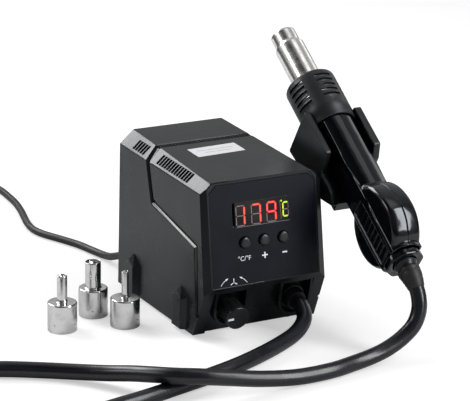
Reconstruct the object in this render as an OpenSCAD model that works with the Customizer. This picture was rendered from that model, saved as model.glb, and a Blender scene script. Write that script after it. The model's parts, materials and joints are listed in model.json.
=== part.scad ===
// Hot air rework station: control box, blower gun in its side holder, three loose nozzles
// +X right, +Y to the rear, +Z up, origin on the table under the middle of the control box

/* [Control box] */
// Width of the box at its foot
body_w = 112; // [106:1:124]
// Depth of the box from the foot of the control panel to the rear wall
body_d = 158; // [150:1:170]
// Height of the top above the table at its front edge
front_h = 129.5; // [127:0.5:133]
// Height of the top above the table at its rear edge
rear_h = 136; // [134:0.5:140]
// Thickness of the moulded housing
wall = 2.4; // [1.8:0.1:3]
// How much each side wall leans in over its full height
side_draft = 1.8; // [0.8:0.1:2.6]
// Angle at which the control panel leans back
panel_lean = 8; // [6:0.5:10]
// Height of the foot of the control panel, where the undercut chin begins
chin_top = 45.4; // [43:0.2:48]
// How far the chin runs back under the panel
chin_setback = 19; // [16:0.5:22]
// Slope of the shoulders along both long edges of the top
shoulder_angle = 41; // [39:0.5:43]
// Distance of the shoulder's middle line from the box's side
shoulder_in = 7; // [6:0.25:8]
// Height of the shoulder's middle line below the front edge of the top
shoulder_drop = 1.75; // [1.25:0.25:2.5]
// Height of the rubber feet under the box
foot_h = 2; // [1.5:0.25:4]
// Diameter of a rubber foot
foot_d = 14; // [10:0.5:16]

/* [Seam and vents] */
// Width of the seam groove where it meets the surface
seam_w = 5.6; // [4.4:0.2:6.4]
// Depth of the seam groove
seam_depth = 1.8; // [1:0.1:2]
// Distance between two neighbouring vent slots in the shoulders
vent_pitch = 4.3; // [4:0.1:5]
// Width of one vent slot in the shoulders
vent_w = 2.3; // [1.6:0.1:2.6]
// Length of one vent slot down the shoulder
vent_len = 9.6; // [7:0.2:10.4]
// Number of slots in the front group of vents
vent_front_n = 13; // [9:1:14]
// Number of slots in the rear group of vents
vent_rear_n = 5; // [3:1:6]
// Number of comb slots in the groove across the top
comb_n = 31; // [15:2:31]

/* [Control panel] */
// Distance of the control panel plate from the box's side
panel_side = 8; // [7.5:0.25:10]
// Distance of the control panel plate from the front edge of the top
panel_head = 2.6; // [2.4:0.2:6]
// Thickness of the control panel plate
panel_t = 1; // [0.6:0.1:1.2]
// Width of the display window
window_w = 50.5; // [46:0.5:54]
// Height of the display window
window_h = 19.5; // [17:0.5:21]
// Height of the window's middle, as a share of the panel plate's height
window_share = 0.692; // [0.68:0.002:0.71]
// Diameter of a push button
button_d = 9; // [7:0.2:10]
// Gap all round a push button in its hole
button_gap = 0.6; // [0.3:0.05:0.8]
// How far a button stands proud of the panel
button_proud = 1.6; // [1.2:0.1:2.4]
// Distance between two neighbouring buttons
button_pitch = 17.4; // [15:0.2:19]
// Height of the row of buttons, as a share of the panel plate's height
button_share = 0.411; // [0.38:0.002:0.43]
// How far a button travels when it is pressed
button_travel = 0.7; // [0.4:0.1:0.9]

/* [Chin, knob and hose socket] */
// Distance of each chin boss from the box's side
boss_in = 26.5; // [25:0.5:28]
// Height of the middle of each chin boss's rim
boss_z = 24; // [23:0.25:25]
// How far the middle of each rim lies behind the foot of the panel
boss_back = 5.5; // [4.5:0.25:6.5]
// Downward tilt of both bosses
boss_tilt = 12; // [9:0.5:14]
// Outer radius of a chin boss
boss_r = 14.8; // [13.6:0.1:15.2]
// Wall of a chin boss
boss_wall = 2; // [1.4:0.1:2.4]
// Depth of the socket inside a chin boss
boss_depth = 9; // [8:0.25:10]
// Diameter of the air knob
knob_d = 18.6; // [16:0.2:20]
// Distance of the knob's face in front of the boss's rim
knob_out = 12.8; // [10:0.2:14]
// Length of the knob
knob_len = 16.4; // [14:0.2:18]
// Diameter of the knob's shaft
shaft_d = 6; // [4:0.5:6.5]

/* [Gun] */
// Distance of the gun's middle plane from the box's side
gun_out = 29; // [28.5:0.25:32]
// Distance of the gun's mouth behind the box's middle
tip_y = 51.7; // [50:0.1:53]
// Height of the gun's mouth above the table
tip_z = 209.3; // [208:0.1:211]
// Angle at which the resting gun rises towards its mouth
gun_tilt = 35; // [34:0.5:36]
// Outer diameter of the mouth that a nozzle pushes on to
mouth_d = 21.6; // [20.8:0.1:21.8]
// Length of the mouth
mouth_len = 11.5; // [9:0.5:13]
// Outer diameter of the steel heater tube
tube_d = 25.4; // [24:0.1:26]
// Thickness of the steel heater tube
tube_t = 0.7; // [0.5:0.1:1]
// Outer diameter of the black heat guard
guard_d = 41; // [39:0.5:42]
// Distance of the guard's front end from the mouth
guard_start = 46; // [43:0.5:48]
// Distance of the handle's front end from the mouth
handle_start = 91; // [89:0.5:93]
// Length of the handle
handle_len = 148; // [146:0.5:149]
// Diameter of the handle's barrel
barrel_d = 35.6; // [34:0.2:36]
// Width of the handle across its two flats
handle_w = 27.2; // [26:0.2:28]
// Diameter of the round blower housing on the handle
blower_d = 62; // [58:0.5:64]
// Width of the blower housing
blower_w = 25; // [23:0.2:26]
// Distance of the blower's axis from the mouth
blower_at = 208; // [206:0.5:209]
// Thickness of the handle shells
handle_t = 2; // [1.6:0.1:2.4]

/* [Holder] */
// Inner width between the holder's cheeks
holder_gap = 36.6; // [36.4:0.1:37.4]
// Thickness of a holder cheek
cheek_t = 5.4; // [4:0.2:5.4]
// Thickness of the upright bracket plate
bracket_t = 3.8; // [3:0.1:3.9]

/* [Nozzles] */
// Outer diameter of a nozzle's collar
collar_d = 24; // [23.6:0.1:26]
// Wall of a nozzle's collar
collar_t = 1; // [0.6:0.1:1.1]
// Height of a nozzle's collar
collar_h = 24; // [20:0.5:28]
// Height of a nozzle's outlet tube above its collar
outlet_h = 22; // [16:0.5:26]
// Outer diameters of the three outlet tubes
outlet_d = [8, 12, 5];

/* [Cords] */
// Diameter of the gun's hose
hose_d = 12.5; // [11:0.1:13]
// Diameter of the mains lead
lead_d = 6.5; // [6:0.1:7]
// Middle radius of the mains lead's coil
coil_r = 37.5; // [34:0.5:40]
// Width of the coil's bundle of turns
coil_w = 20; // [18:0.5:24]
// Height of the coil's bundle of turns
coil_h = 14; // [12:0.5:18]

/* [Hidden] */
$fn = 48;

// Clearances
fit = 0.15;
slack = 0.3;

// Length beyond everything
reach = 400;

// Body's own places
front_y = -body_d / 2;
rear_y = body_d / 2;
chin_angle = atan(chin_setback / (chin_top - foot_h));
top_slope = atan((rear_h - front_h) / (body_d - (front_h - chin_top) * tan(panel_lean)));
shoulder_rise = 1.4;
corner_w = 6;
corner_d = 3.2;
front_half = body_w / 2 - 0.6 - corner_w;
shoulder_x = body_w / 2 - shoulder_in;
shoulder_z = front_h - shoulder_drop;
boss_x = body_w / 2 - boss_in;
gun_x = body_w / 2 + gun_out;
plate_t = 2.6;
plate_top = foot_h + plate_t;

// Foot and post places
post_r = 5;
post_x = body_w / 2 - 6.5;
post_front_y = front_y + chin_setback + 14;
post_rear_y = rear_y - 15;
post_top = foot_h + 15.5;
POSTS = [for (y = [post_front_y, post_rear_y], x = [-post_x, post_x]) [x, y]];

// Screws
screw_r = 1.5;
head_r = 2.9;
head_h = 1.8;
base_screw = 12;
bracket_screw = 14;
cradle_screw = 8;
board_screw = 7.6;
handle_screw = 15;

// Seam, in side view from the chin's foot over the side wall to the top
SEAM = [
    [front_y + chin_setback + 2.6, foot_h], [front_y + 12.8, 20], [front_y + 17.5, 78],
    [front_y + 95, 92.5], [front_y + 104.5, 122.8], [front_y + 110.5, 133.8], [front_y + 111.5, 160]
];
seam_floor = seam_w - 2 * seam_depth * 0.75;
lip_in = 2;
lip_over = 5;
comb_pitch = 2.7;
comb_w = 1.5;
vent_front_y = SEAM[4].x - 12.6;
vent_rear_y = SEAM[4].x + 31.3;

// Chin: its slab, the pocket between its cheeks and the lip over that pocket
chin_t = 6;
pocket_w = body_w - 21;
pocket_d = 3.5;
lip_h = 4.8;
boss_up = 18.5;

// Knob's potentiometer and the hose's gland
bush_r = 3.5;
pot_r = 8.5;
knob_r = knob_d / 2;
shaft_r = shaft_d / 2;
gland_r = 7.5;
gland_out = 3.7;

// Pilaster rails on both side walls
rail_w = 22;
rail_out = 4.5;
rail_foot = 3;
rail_top = 38;
RAILS = [-38, 49];

// Panel cut-outs, from the panel's foot line
panel_foot = 0.8;
panel_w = body_w - 2 * panel_side;
panel_h = (front_h - chin_top) / cos(panel_lean) - panel_foot - panel_head;
panel_corner = [6.5, 6];
window_x = -2.6;
window_up = panel_foot + window_share * panel_h;
button_up = panel_foot + button_share * panel_h;
button_mid = -0.6;
button_r = button_d / 2;
stem_r = 2.4;
plunger_r = 1.7;
flange_t = 1;
flange_out = 1.8;
board_back = 14;
board_t = 1.6;
board_x = panel_w / 2 - 8;
board_ys = [17, panel_foot + panel_h - 10.3];

// Gun's own places along its axis, from the mouth
handle_end = handle_start + handle_len;
collar_len = 6;
boot_len = 5;
gun_end = handle_end + collar_len + boot_len;
barrel_r = barrel_d / 2;

// Holder, seen from the side in the gun's own frame: distance from the mouth, height over the axis
CHEEK = [
    [handle_start + slack, 15.5], [134, 15.5], [131, 9.7], [132, -4], [138, -10], [149, -7.5],
    [158, -3.7], [166, -7], [169, -16], [169, -24], [handle_start + slack, -35]
];

// Holder's bracket and the tab under its left cheek, seen from the side: depth, height
bracket_at = gun_x - holder_gap / 2 - cheek_t - bracket_t;
BRACKET = [
    [-32, 42], [16, 42], [16, 84], [-4, 119], [-47, 119], [-47, 92], [-32, 78]
];
TAB = [[-46, 93], [-14, 93], [-8, 100], [-8, 118], [-21, 119.5], [-46, 118]];
BRACKET_SCREWS = [[-25, 50], [9, 50], [-25, 74], [9, 74]];
CRADLE_SCREWS = [[-40, 99], [-16, 99], [-16, 112]];
trough_q = -22;
trough_h = 8;
trough_len = 73;

// Screws of the handle, along the gun and across it, and the seat of their heads
HANDLE_SCREWS = [[112, -12], [160, 12], [229, 13], [224, -19]];
screw_seat = -8.4;
bore_in = 9;
tube_end = 98;
mica_start = 16;
core_start = 20;
core_r = 7;
wire_start = 26;
wire_pitch = 6.6;
wire_d = 1.6;
mount_t = 3.8;

// Nozzles stand to the left of the box
nozzle_side = body_w / 2;
NOZZLES = [
    [-nozzle_side - 85.8, 2.6], [-nozzle_side - 49.2, 22.7], [-nozzle_side - 36.1, -10.3]
];
outlet_t = 0.5;
cap_t = 1;

// Inside the box: base plate, feet, transformer and power board
plate_front = front_y + chin_setback + 7;
feet_x = body_w / 2 - 20;
FEET_Y = [front_y + chin_setback + 15, rear_y - 14];
air_pitch = 8;
air_w = 3;
air_len = 16;
air_y = 18;
trafo_x = -8;
trafo_y = 42;
core_x = 54;
core_y = 26;
core_z = 44;
peg_h = 6;
pboard_x = body_w - 28;
pboard_y = -40;
pboard_d = 46;
peg_x = pboard_x / 2 - 4;
BOARD_PEGS = [for (y = [-36, 2], x = [-peg_x, peg_x]) [x, y]];
CANS = [[[-26, -30, 0], 8, 26], [[-8, -30, 0], 5, 16]];
BLOCKS = [
    [[-38, -14, 0], [20, 14, 16]], [[-12, -16, 0], [16, 12, 11]],
    [[26, -32, 0], [10, 14, 9]], [[24, -14, 0], [10, 12, 9]]
];
SINK = [8, -34];
sink_fins = 5;
sink_h = 30;
button_in = 7.2;
grip_r = 5.4;

// Hose from the gun's boot to the socket in the chin
HOSE_ROUTE = [
    [gun_x + 0.5, -168.5, 50], [gun_x - 0.5, -172, 39], [gun_x - 6, -174, 28],
    [gun_x - 16, -174.5, 19.5],
    [56, -175, 13], [42, -175.5, 9], [24, -177.5, 7], [0, -182, 6.5], [-30, -183, 7],
    [-60, -182, 10.5], [-88, -179.5, 15.5], [-110, -175.5, 19], [-126, -167.5, 19.5],
    [-137, -154, 17.5], [-147, -137, 14], [-160, -119, 10], [-177, -101, 7.5],
    [-200, -83, 6.5], [-226, -68, 6.5], [-257, -56, 6.5], [-290, -50, 6.5],
    [-323, -52, 6.5], [-353, -66, 6.5], [-374, -92, 6.5], [-380, -125, 6.5],
    [-368, -156, 6.5], [-342, -178, 6.5], [-310, -188, 6.5], [-277, -190, 6.5],
    [-244, -187, 6.5], [-212, -180, 6.5], [-180, -173, 6.5], [-150, -167, 6.5],
    [-120, -159, 6.5], [-90, -151, 6.5], [-62, -142, 6.5], [-38, -132, 6.5],
    [-14, -120, 6.5], [boss_x - 21.5, -108.5, 8], [boss_x - 9, -100.5, 11.5],
    [boss_x - 2, -93, 16]
];

// Mains lead from the rear wall to its coil
grip_x = 16 - body_w / 2;
grip_z = 16;
grip_len = 20;
LEAD_ROUTE = [
    [grip_x, 109, 14], [grip_x, 119, 10.3], [grip_x + 0.3, 130, 6.6], [grip_x, 143, 4.2],
    [grip_x - 2.5, 160, 3.4],
    [-47, 180, 3.3], [-55, 201, 3.3], [-63, 220, 3.3], [-66, 236, 3.3], [-64, 254, 3.3],
    [-59, 274, 3.3], [-54, 294, 3.3], [-50, 315, 3.3], [-48, 336, 3.3], [-47, 358, 3.3],
    [-49, 378, 3.3], [-51.8, 393.1, 3.3]
];
coil_x = -97.5;
coil_y = 415;
plug_x = coil_x - coil_r - 3;
plug_y = coil_y - 42;
TAIL = [
    [coil_x - coil_r - 1, coil_y, 7], [coil_x - coil_r - 2, coil_y - 14, 7.5],
    [coil_x - coil_r - 3, coil_y - 28, 13], [plug_x, plug_y + 5, 17.6], [plug_x, plug_y - 5.5, 18]
];
plug_len = 34;
plug_r = 18;
pin_len = 19;
pin_r = 2.4;
pin_gap = 19;
tie_w = 12;
tie_t = 1.2;

// Unit vector along v
function unit(v) = v / norm(v);

// Point on the gun's axis, and point on a chin boss's axis
function gun_point(a) = [gun_x, tip_y - a * cos(gun_tilt), tip_z - a * sin(gun_tilt)];
function boss_point(x, out) =
    [x, front_y + boss_back - out * cos(boss_tilt), boss_z - out * sin(boss_tilt)];

// Direction of a route at point i, and sides carried along it without twist
function along(p, i) =
    i == 0 ? unit(p[1] - p[0])
    : i == len(p) - 1 ? unit(p[i] - p[i - 1])
    : unit(unit(p[i] - p[i - 1]) + unit(p[i + 1] - p[i]));
function sides(p, v, i = 0) =
    i == len(p) ? []
    : let (d = along(p, i), s = unit(v - (v * d) * d)) concat([s], sides(p, s, i + 1));

// Normal to the left of a flat vector
function left_of(v) = [-v.y, v.x];

// Corner b of the outline a-b-c after both edges move d to their left
function moved_corner(a, b, c, d) =
    let (m = left_of(unit(b - a)), n = left_of(unit(c - b)))
    b + d * (m + n) / (1 + m * n);

// Closed outline moved d to its left, which is inwards for an anticlockwise one
function inset(pts, d) =
    let (n = len(pts))
    [for (i = [0:n - 1]) moved_corner(pts[(i + n - 1) % n], pts[i], pts[(i + 1) % n], d)];

// Open line moved d to its left
function moved_line(pts, d) =
    let (n = len(pts))
    [for (i = [0:n - 1])
        i == 0 ? pts[0] + d * left_of(unit(pts[1] - pts[0]))
        : i == n - 1 ? pts[i] + d * left_of(unit(pts[i] - pts[i - 1]))
        : moved_corner(pts[i - 1], pts[i], pts[i + 1], d)];

// Half width of the side wall's outer face at a height
function wall_x(z) = body_w / 2 - side_draft * (z - foot_h) / (rear_h - foot_h);

// Height of the top's outer face at a depth
function top_z(y) = rear_h - (rear_y - y) * tan(top_slope);

// Distance from the middle at which the shoulder reaches a height, at a depth
function shoulder_x_at(y, z) =
    shoulder_x - (z - shoulder_z - y * tan(shoulder_rise)) / tan(shoulder_angle);

// Outlines of the box, anticlockwise: from the side, from the front, across the
// shoulders, and across the front corners
function side_view(bottom) = [
    [front_y + (chin_top - bottom) * tan(chin_angle), bottom], [rear_y, bottom], [rear_y, rear_h],
    [front_y + (front_h - chin_top) * tan(panel_lean), front_h], [front_y, chin_top]
];
FRONT_VIEW = [
    [-wall_x(-reach), -reach], [wall_x(-reach), -reach],
    [wall_x(reach), reach], [-wall_x(reach), reach]
];
ROOF = [
    [-reach, -reach], [reach, -reach], [reach, (shoulder_x - reach) * tan(shoulder_angle)],
    [0, shoulder_x * tan(shoulder_angle)], [-reach, (shoulder_x - reach) * tan(shoulder_angle)]
];
CORNERS = [
    [-front_half, 0], [-front_half - 5 * corner_w, -5 * corner_d],
    [-front_half - 5 * corner_w, -2 * reach], [front_half + 5 * corner_w, -2 * reach],
    [front_half + 5 * corner_w, -5 * corner_d], [front_half, 0]
];

// Frame of the control panel: X right, Y up the slope, Z out of the panel
module on_panel() {
    translate([0, front_y, chin_top]) rotate([90 - panel_lean, 0, 0]) children();
}

// Frame of the chin: X right, Y up to the panel's foot, Z out of the chin
module on_chin() {
    translate([0, front_y, chin_top]) rotate([90 + chin_angle, 0, 0]) children();
}

// Frame of a chin boss: Z out along its axis, origin in the middle of its rim
module on_boss(x) {
    translate([x, front_y + boss_back, boss_z]) rotate([90 + boss_tilt, 0, 0]) children();
}

// Frame of the gun: Z along its axis from the mouth to the hose, Y out of the holder
module on_gun() {
    translate([gun_x, tip_y, tip_z]) rotate([90 + gun_tilt, 0, 0]) children();
}

// Frame on the shoulder of side s at a depth: X across it, Z out of it
module on_shoulder(s, y) {
    translate([s * shoulder_x, y, shoulder_z + y * tan(shoulder_rise)])
        rotate([0, s * shoulder_angle, 0]) children();
}

// Prism of a side outline, across the whole width
module across(outline) {
    translate([-reach, 0, 0]) rotate([90, 0, 90]) linear_extrude(2 * reach) polygon(outline);
}

// Outer form of the box moved in by t, down to a height
module box_form(t = 0, bottom = foot_h) {
    intersection() {
        across(inset(side_view(bottom - t), t));
        translate([0, reach, 0]) rotate([90, 0, 0])
            linear_extrude(2 * reach) polygon(inset(FRONT_VIEW, t));
        translate([0, 0, shoulder_z]) rotate([90 + shoulder_rise, 0, 0])
            translate([0, 0, -reach]) linear_extrude(2 * reach) polygon(inset(ROOF, t));
        on_panel() translate([0, reach, 0]) rotate([90, 0, 0])
            linear_extrude(2 * reach) polygon(inset(CORNERS, t));
    }
}

// Layer of the box between two depths under its surface, open at the foot
module layer(t_out, t_in) {
    difference() {
        box_form(t_out);
        box_form(t_in, -reach / 2);
    }
}

// Everything in front of the seam moved forward by d
module ahead_of_seam(d) {
    line = moved_line(SEAM, d);
    across(concat([[line[0].x, -reach]], line, [[-reach, reach], [-reach, -reach]]));
}

// One straight run of the seam groove from a to b on a face with normal n
module groove_run(a, b, n) {
    ux = unit(b - a);
    uz = unit(n - (n * ux) * ux);
    uy = cross(uz, ux);
    over = 0.6;
    k = (seam_w - seam_floor) / 2 / seam_depth;
    multmatrix([
        [ux.x, uy.x, uz.x, a.x], [ux.y, uy.y, uz.y, a.y], [ux.z, uy.z, uz.z, a.z], [0, 0, 0, 1]
    ])
    translate([-over, 0, 0]) rotate([90, 0, 90]) linear_extrude(norm(b - a) + 2 * over)
        polygon([
            [-seam_floor / 2, -seam_depth], [seam_floor / 2, -seam_depth],
            [seam_w / 2 + k, 1], [-seam_w / 2 - k, 1]
        ]);
}

// Seam groove up both walls, over the shoulders and across the top
module groove() {
    k = (seam_w - seam_floor) / 2 / seam_depth;
    y_top = SEAM[5].x;
    z_top = top_z(y_top);
    x_top = shoulder_x_at(y_top, z_top);
    edge_z = shoulder_z + (shoulder_x - wall_x(shoulder_z)) * tan(shoulder_angle)
        + SEAM[4].x * tan(shoulder_rise);
    for (s = [-1, 1]) {
        wall_pts = [for (p = [SEAM[1], SEAM[2], SEAM[3], [SEAM[4].x, edge_z]])
            [s * wall_x(p.y), p.x, p.y]];
        for (i = [0:2]) groove_run(wall_pts[i], wall_pts[i + 1], [s, 0, 0]);
        for (i = [1:2]) translate(wall_pts[i]) rotate([0, s * 90, 0])
            translate([0, 0, -seam_depth]) cylinder(
                r1 = seam_floor / 2, r2 = seam_w / 2 + k, h = seam_depth + 1
            );
        groove_run(wall_pts[3], [s * x_top, y_top, z_top],
            [s * sin(shoulder_angle), 0, cos(shoulder_angle)]);
    }
    groove_run([-x_top, y_top, z_top], [x_top, y_top, z_top], [0, 0, 1]);
}

// Row of n vent slots down both shoulders, the first at a depth and the rest before it
module vents(first_y, n) {
    for (s = [-1, 1], i = [0:n - 1]) on_shoulder(s, first_y - i * vent_pitch)
        translate([-vent_len / 2, -vent_w / 2, -3 * wall])
            cube([vent_len, vent_w, 4 * wall]);
}

// Comb of short slots in the floor of the groove across the top
module comb() {
    for (i = [0:comb_n - 1]) translate([
        (i - (comb_n - 1) / 2) * comb_pitch - comb_w / 2, SEAM[5].x - seam_floor / 2 - 0.2,
        SEAM[5].y - 4 * wall
    ])
        cube([comb_w, seam_floor + 0.4, 6 * wall]);
}

// Round cord of radius r along a route, with n sides
module cord(p, r, n) {
    s = sides(p, [0.3, 0.1, 1]);
    last = (len(p) - 1) * n;
    polyhedron(
        [for (i = [0:len(p) - 1]) let (u = cross(along(p, i), s[i])) for (k = [0:n - 1])
            p[i] + r * (cos(360 * k / n) * s[i] + sin(360 * k / n) * u)],
        concat(
            [[for (k = [0:n - 1]) k]], [[for (k = [n - 1:-1:0]) last + k]],
            [for (i = [0:len(p) - 2], k = [0:n - 1])
                [i * n + k, i * n + n + k, i * n + n + (k + 1) % n]],
            [for (i = [0:len(p) - 2], k = [0:n - 1])
                [i * n + k, i * n + n + (k + 1) % n, i * n + (k + 1) % n]]
        ),
        convexity = 10
    );
}

// Screw along Z: its tip at the origin, its head above len
module screw(len) {
    cylinder(r = screw_r - fit, h = len);
    translate([0, 0, len]) difference() {
        cylinder(r = head_r, h = head_h);
        for (a = [0, 90]) rotate([0, 0, a])
            translate([-0.6 * head_r, -0.4, head_h / 2]) cube([1.2 * head_r, 0.8, head_h]);
    }
}

// Outline of a chin boss: round below, straight up to a height
module boss_outline(r, up = boss_up) {
    circle(r);
    translate([-r, 0]) square([2 * r, up]);
}

// Outline of the control panel plate, let out by d
module panel_outline(d) {
    w = panel_w / 2;
    top = panel_foot + panel_h;
    polygon(inset([
        [-w, panel_foot], [w, panel_foot], [w, top - panel_corner.y],
        [w - panel_corner.x, top], [panel_corner.x - w, top], [-w, top - panel_corner.y]
    ], -d));
}

// Moulded screw post under the shells at a post's place
module post(p) {
    translate([p.x, p.y, plate_top]) cylinder(r = post_r, h = post_top - plate_top);
}
module post_bores() {
    for (p = POSTS) translate([p.x, p.y, 0]) cylinder(r = screw_r, h = post_top - 2);
}

// Rail with a pointed head on the wall of side s, for the gun's holder
module rail(s, y) {
    translate([s * (body_w / 2 - 1.2), y, 0]) rotate([90, 0, s * 90])
        hull() {
            linear_extrude(0.2) polygon(rail_outline(0));
            translate([0, 0, rail_out + 1]) linear_extrude(0.2) polygon(rail_outline(3.6));
        }
}
function rail_outline(in) = [
    [-rail_w / 2 + in, rail_foot], [rail_w / 2 - in, rail_foot],
    [rail_w / 2 - in, rail_top - 8 - in / 2], [0, rail_top - 1.5 * in],
    [in - rail_w / 2, rail_top - 8 - in / 2]
];

module front_shell() {
    color([0.13, 0.13, 0.14]) {
        difference() {
            union() {
                intersection() {
                    layer(0, wall);
                    ahead_of_seam(-seam_floor / 2);
                }
                intersection() {
                    box_form(wall - 0.2);
                    union() {
                        on_chin() translate([slack + wall - body_w / 2, -reach, -chin_t])
                            cube([body_w - 2 * (wall + slack), reach, chin_t]);
                        on_panel() translate([-body_w / 2, 0, -panel_t - wall])
                            cube([body_w, reach / 2, panel_t + wall]);
                    }
                }
                intersection() {
                    box_form(wall + slack);
                    for (i = [0, 1]) {
                        post(POSTS[i]);
                        translate([POSTS[i].x - 1.5, front_y, plate_top])
                            cube([3, POSTS[i].y - front_y, post_top - plate_top]);
                    }
                }
                on_panel() for (x = [-board_x, board_x], y = board_ys)
                    translate([x, y, -board_back]) cylinder(r = 3, h = board_back - panel_t);
            }
            groove();
            comb();
            vents(vent_front_y, vent_front_n);
            on_panel() {
                translate([0, 0, -panel_t]) linear_extrude(3 * panel_t) panel_outline(fit);
                translate([window_x, window_up, 0])
                    cube([window_w - 2, window_h - 2, 6 * wall], center = true);
                for (i = [-1:1]) translate([button_mid + i * button_pitch, button_up, -4 * wall])
                    cylinder(r = button_r + button_gap, h = 6 * wall);
                for (x = [-board_x, board_x], y = board_ys)
                    translate([x, y, -board_back - 1]) cylinder(r = screw_r, h = 9);
            }
            on_chin() translate([-pocket_w / 2, -reach, -pocket_d])
                cube([pocket_w, reach - lip_h, pocket_d * 3]);
            post_bores();
            for (s = [-1, 1]) on_boss(s * boss_x) translate([0, 0, -boss_depth - wall - 1])
                linear_extrude(boss_depth + wall + 9) boss_outline(boss_r - boss_wall, boss_up - 2);
        }
        for (s = [-1, 1]) on_boss(s * boss_x) difference() {
            translate([0, 0, -boss_depth - wall]) linear_extrude(boss_depth + wall)
                boss_outline(boss_r);
            translate([0, 0, -boss_depth]) linear_extrude(2 * boss_depth)
                boss_outline(boss_r - boss_wall, boss_up - 2);
            translate([0, 0, -3 * boss_depth])
                cylinder(r = (s < 0 ? bush_r : gland_r) + fit, h = 3 * boss_depth);
        }
    }
}

module rear_shell() {
    color([0.12, 0.12, 0.13]) difference() {
        union() {
            difference() {
                layer(0, wall);
                ahead_of_seam(-seam_floor / 2 - slack);
            }
            intersection() {
                layer(wall + 0.1, wall + 0.1 + lip_in);
                difference() {
                    ahead_of_seam(lip_over);
                    ahead_of_seam(-seam_floor / 2 - 4);
                }
                translate([-reach, -reach, 50]) cube(2 * reach);
            }
            intersection() {
                layer(wall - 0.3, wall + 0.1 + lip_in);
                difference() {
                    ahead_of_seam(-seam_floor / 2 - slack);
                    ahead_of_seam(-seam_floor / 2 - 4);
                }
                translate([-reach, -reach, 50]) cube(2 * reach);
            }
            intersection() {
                box_form(wall - 0.2);
                union() {
                    for (i = [2, 3]) post(POSTS[i]);
                    for (p = BRACKET_SCREWS) translate([body_w / 2 - 11, p.x, p.y])
                        rotate([0, 90, 0]) cylinder(r = 4.5, h = 11);
                }
            }
            for (s = [-1, 1], y = RAILS) rail(s, y);
        }
        groove();
        comb();
        vents(vent_rear_y, vent_rear_n);
        post_bores();
        for (p = BRACKET_SCREWS) translate([body_w / 2 - 10, p.x, p.y])
            rotate([0, 90, 0]) cylinder(r = screw_r, h = 20);
        translate([grip_x, rear_y + wall, grip_z]) rotate([90, 0, 0])
            cylinder(r = grip_r + fit, h = 4 * wall);
    }
}

// Base plate with its pegs for the power board and its tray for the transformer
module base_plate() {
    color([0.15, 0.15, 0.16]) difference() {
        union() {
            intersection() {
                box_form(wall + slack, -10);
                translate([-reach, plate_front, foot_h]) cube([2 * reach, reach, plate_t]);
            }
            for (p = BOARD_PEGS) translate([p.x, p.y, plate_top - 0.5]) {
                cylinder(r = 3, h = peg_h + 0.5, $fn = 24);
                cylinder(r = 1.2, h = peg_h + board_t + 2.4, $fn = 24);
            }
            translate([trafo_x, trafo_y, plate_top - 0.5]) difference() {
                translate([-core_x / 2 - 2, -core_y / 2 - 2, 0])
                    cube([core_x + 4, core_y + 4, 5]);
                translate([-core_x / 2 - fit, -core_y / 2 - fit, -1])
                    cube([core_x + 2 * fit, core_y + 2 * fit, 8]);
                translate([-core_x, -core_y / 2 + 6, -1]) cube([2 * core_x, core_y - 12, 8]);
            }
        }
        for (p = POSTS) translate([p.x, p.y, 0]) cylinder(r = screw_r + fit, h = 10);
        for (x = [-feet_x, feet_x], y = FEET_Y) translate([x, y, 0])
            cylinder(r = 3.1, h = 10, $fn = 24);
        for (i = [-2.5:2.5], s = [-1, 1])
            translate([i * air_pitch - air_w / 2, s * air_y - air_len / 2, 0])
                cube([air_w, air_len, 3 * plate_t]);
    }
}

module rubber_feet() {
    peg = 2.9;
    lip = 3.8;
    tip = 2.2;
    color([0.06, 0.06, 0.06]) for (x = [-feet_x, feet_x], y = FEET_Y) translate([x, y, 0]) {
        cylinder(r = foot_d / 2, h = foot_h - 0.05);
        cylinder(r = peg, h = plate_top, $fn = 24);
        translate([0, 0, plate_top + 0.05]) cylinder(r1 = lip, r2 = tip, h = 1.6, $fn = 24);
        translate([0, 0, plate_top - 0.5]) cylinder(r = tip, h = 1, $fn = 24);
    }
}

module base_screws() {
    color([0.6, 0.6, 0.6]) for (p = POSTS)
        translate([p.x, p.y, foot_h + base_screw]) rotate([180, 0, 0]) screw(base_screw + 0.05);
}

module control_panel() {
    color([0.1, 0.12, 0.17]) on_panel() difference() {
        translate([0, 0, -panel_t]) linear_extrude(panel_t) panel_outline(0);
        translate([window_x, window_up, 0])
            cube([window_w + 2 * fit, window_h + 2 * fit, 8], center = true);
        for (i = [-1:1]) translate([button_mid + i * button_pitch, button_up, -4])
            cylinder(r = button_r + button_gap, h = 8);
    }
}

module display_window() {
    color([0.05, 0.03, 0.04]) on_panel() translate([window_x, window_up, -panel_t / 2])
        cube([window_w, window_h, panel_t - 0.1], center = true);
}

// Digits as plain bars, from the window's middle; the third number is their height
DIGITS = [[-19.1, 8.2, 16.1], [-5, 9.4, 16.1], [8.6, 9.6, 16.1], [20.7, 6.4, 13.1]];

module led_display() {
    color([0.35, 0.06, 0.05]) on_panel() translate([window_x, window_up, -board_back + 0.05]) {
        translate([-23, -8.4, 0]) cube([46, 16.8, board_back - panel_t - 0.6]);
        for (d = DIGITS) translate([d.x - d.y / 2, -d.z / 2, board_back - panel_t - 0.7])
            cube([d.y, d.z, 0.3]);
    }
}

module control_board() {
    color([0.05, 0.3, 0.15]) on_panel() difference() {
        translate([-board_x - 5, board_ys[0] - 5, -board_back - board_t - 0.05])
            cube([2 * board_x + 10, board_ys[1] - board_ys[0] + 10, board_t]);
        for (x = [-board_x, board_x], y = board_ys) translate([x, y, -2 * board_back])
            cylinder(r = screw_r + fit, h = 2 * board_back, $fn = 24);
    }
}

module board_screws() {
    color([0.6, 0.6, 0.6]) on_panel() for (x = [-board_x, board_x], y = board_ys)
        translate([x, y, board_screw - board_back - board_t - 0.1]) rotate([180, 0, 0])
            screw(board_screw);
}

module tact_switches() {
    color([0.7, 0.7, 0.72]) on_panel() for (i = [-1:1])
        translate([button_mid + i * button_pitch, button_up, -board_back]) {
            translate([-3, -3, 0]) cube([6, 6, 3.5]);
            cylinder(r = plunger_r, h = board_back - button_in - button_travel - 0.2, $fn = 24);
        }
}

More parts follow.
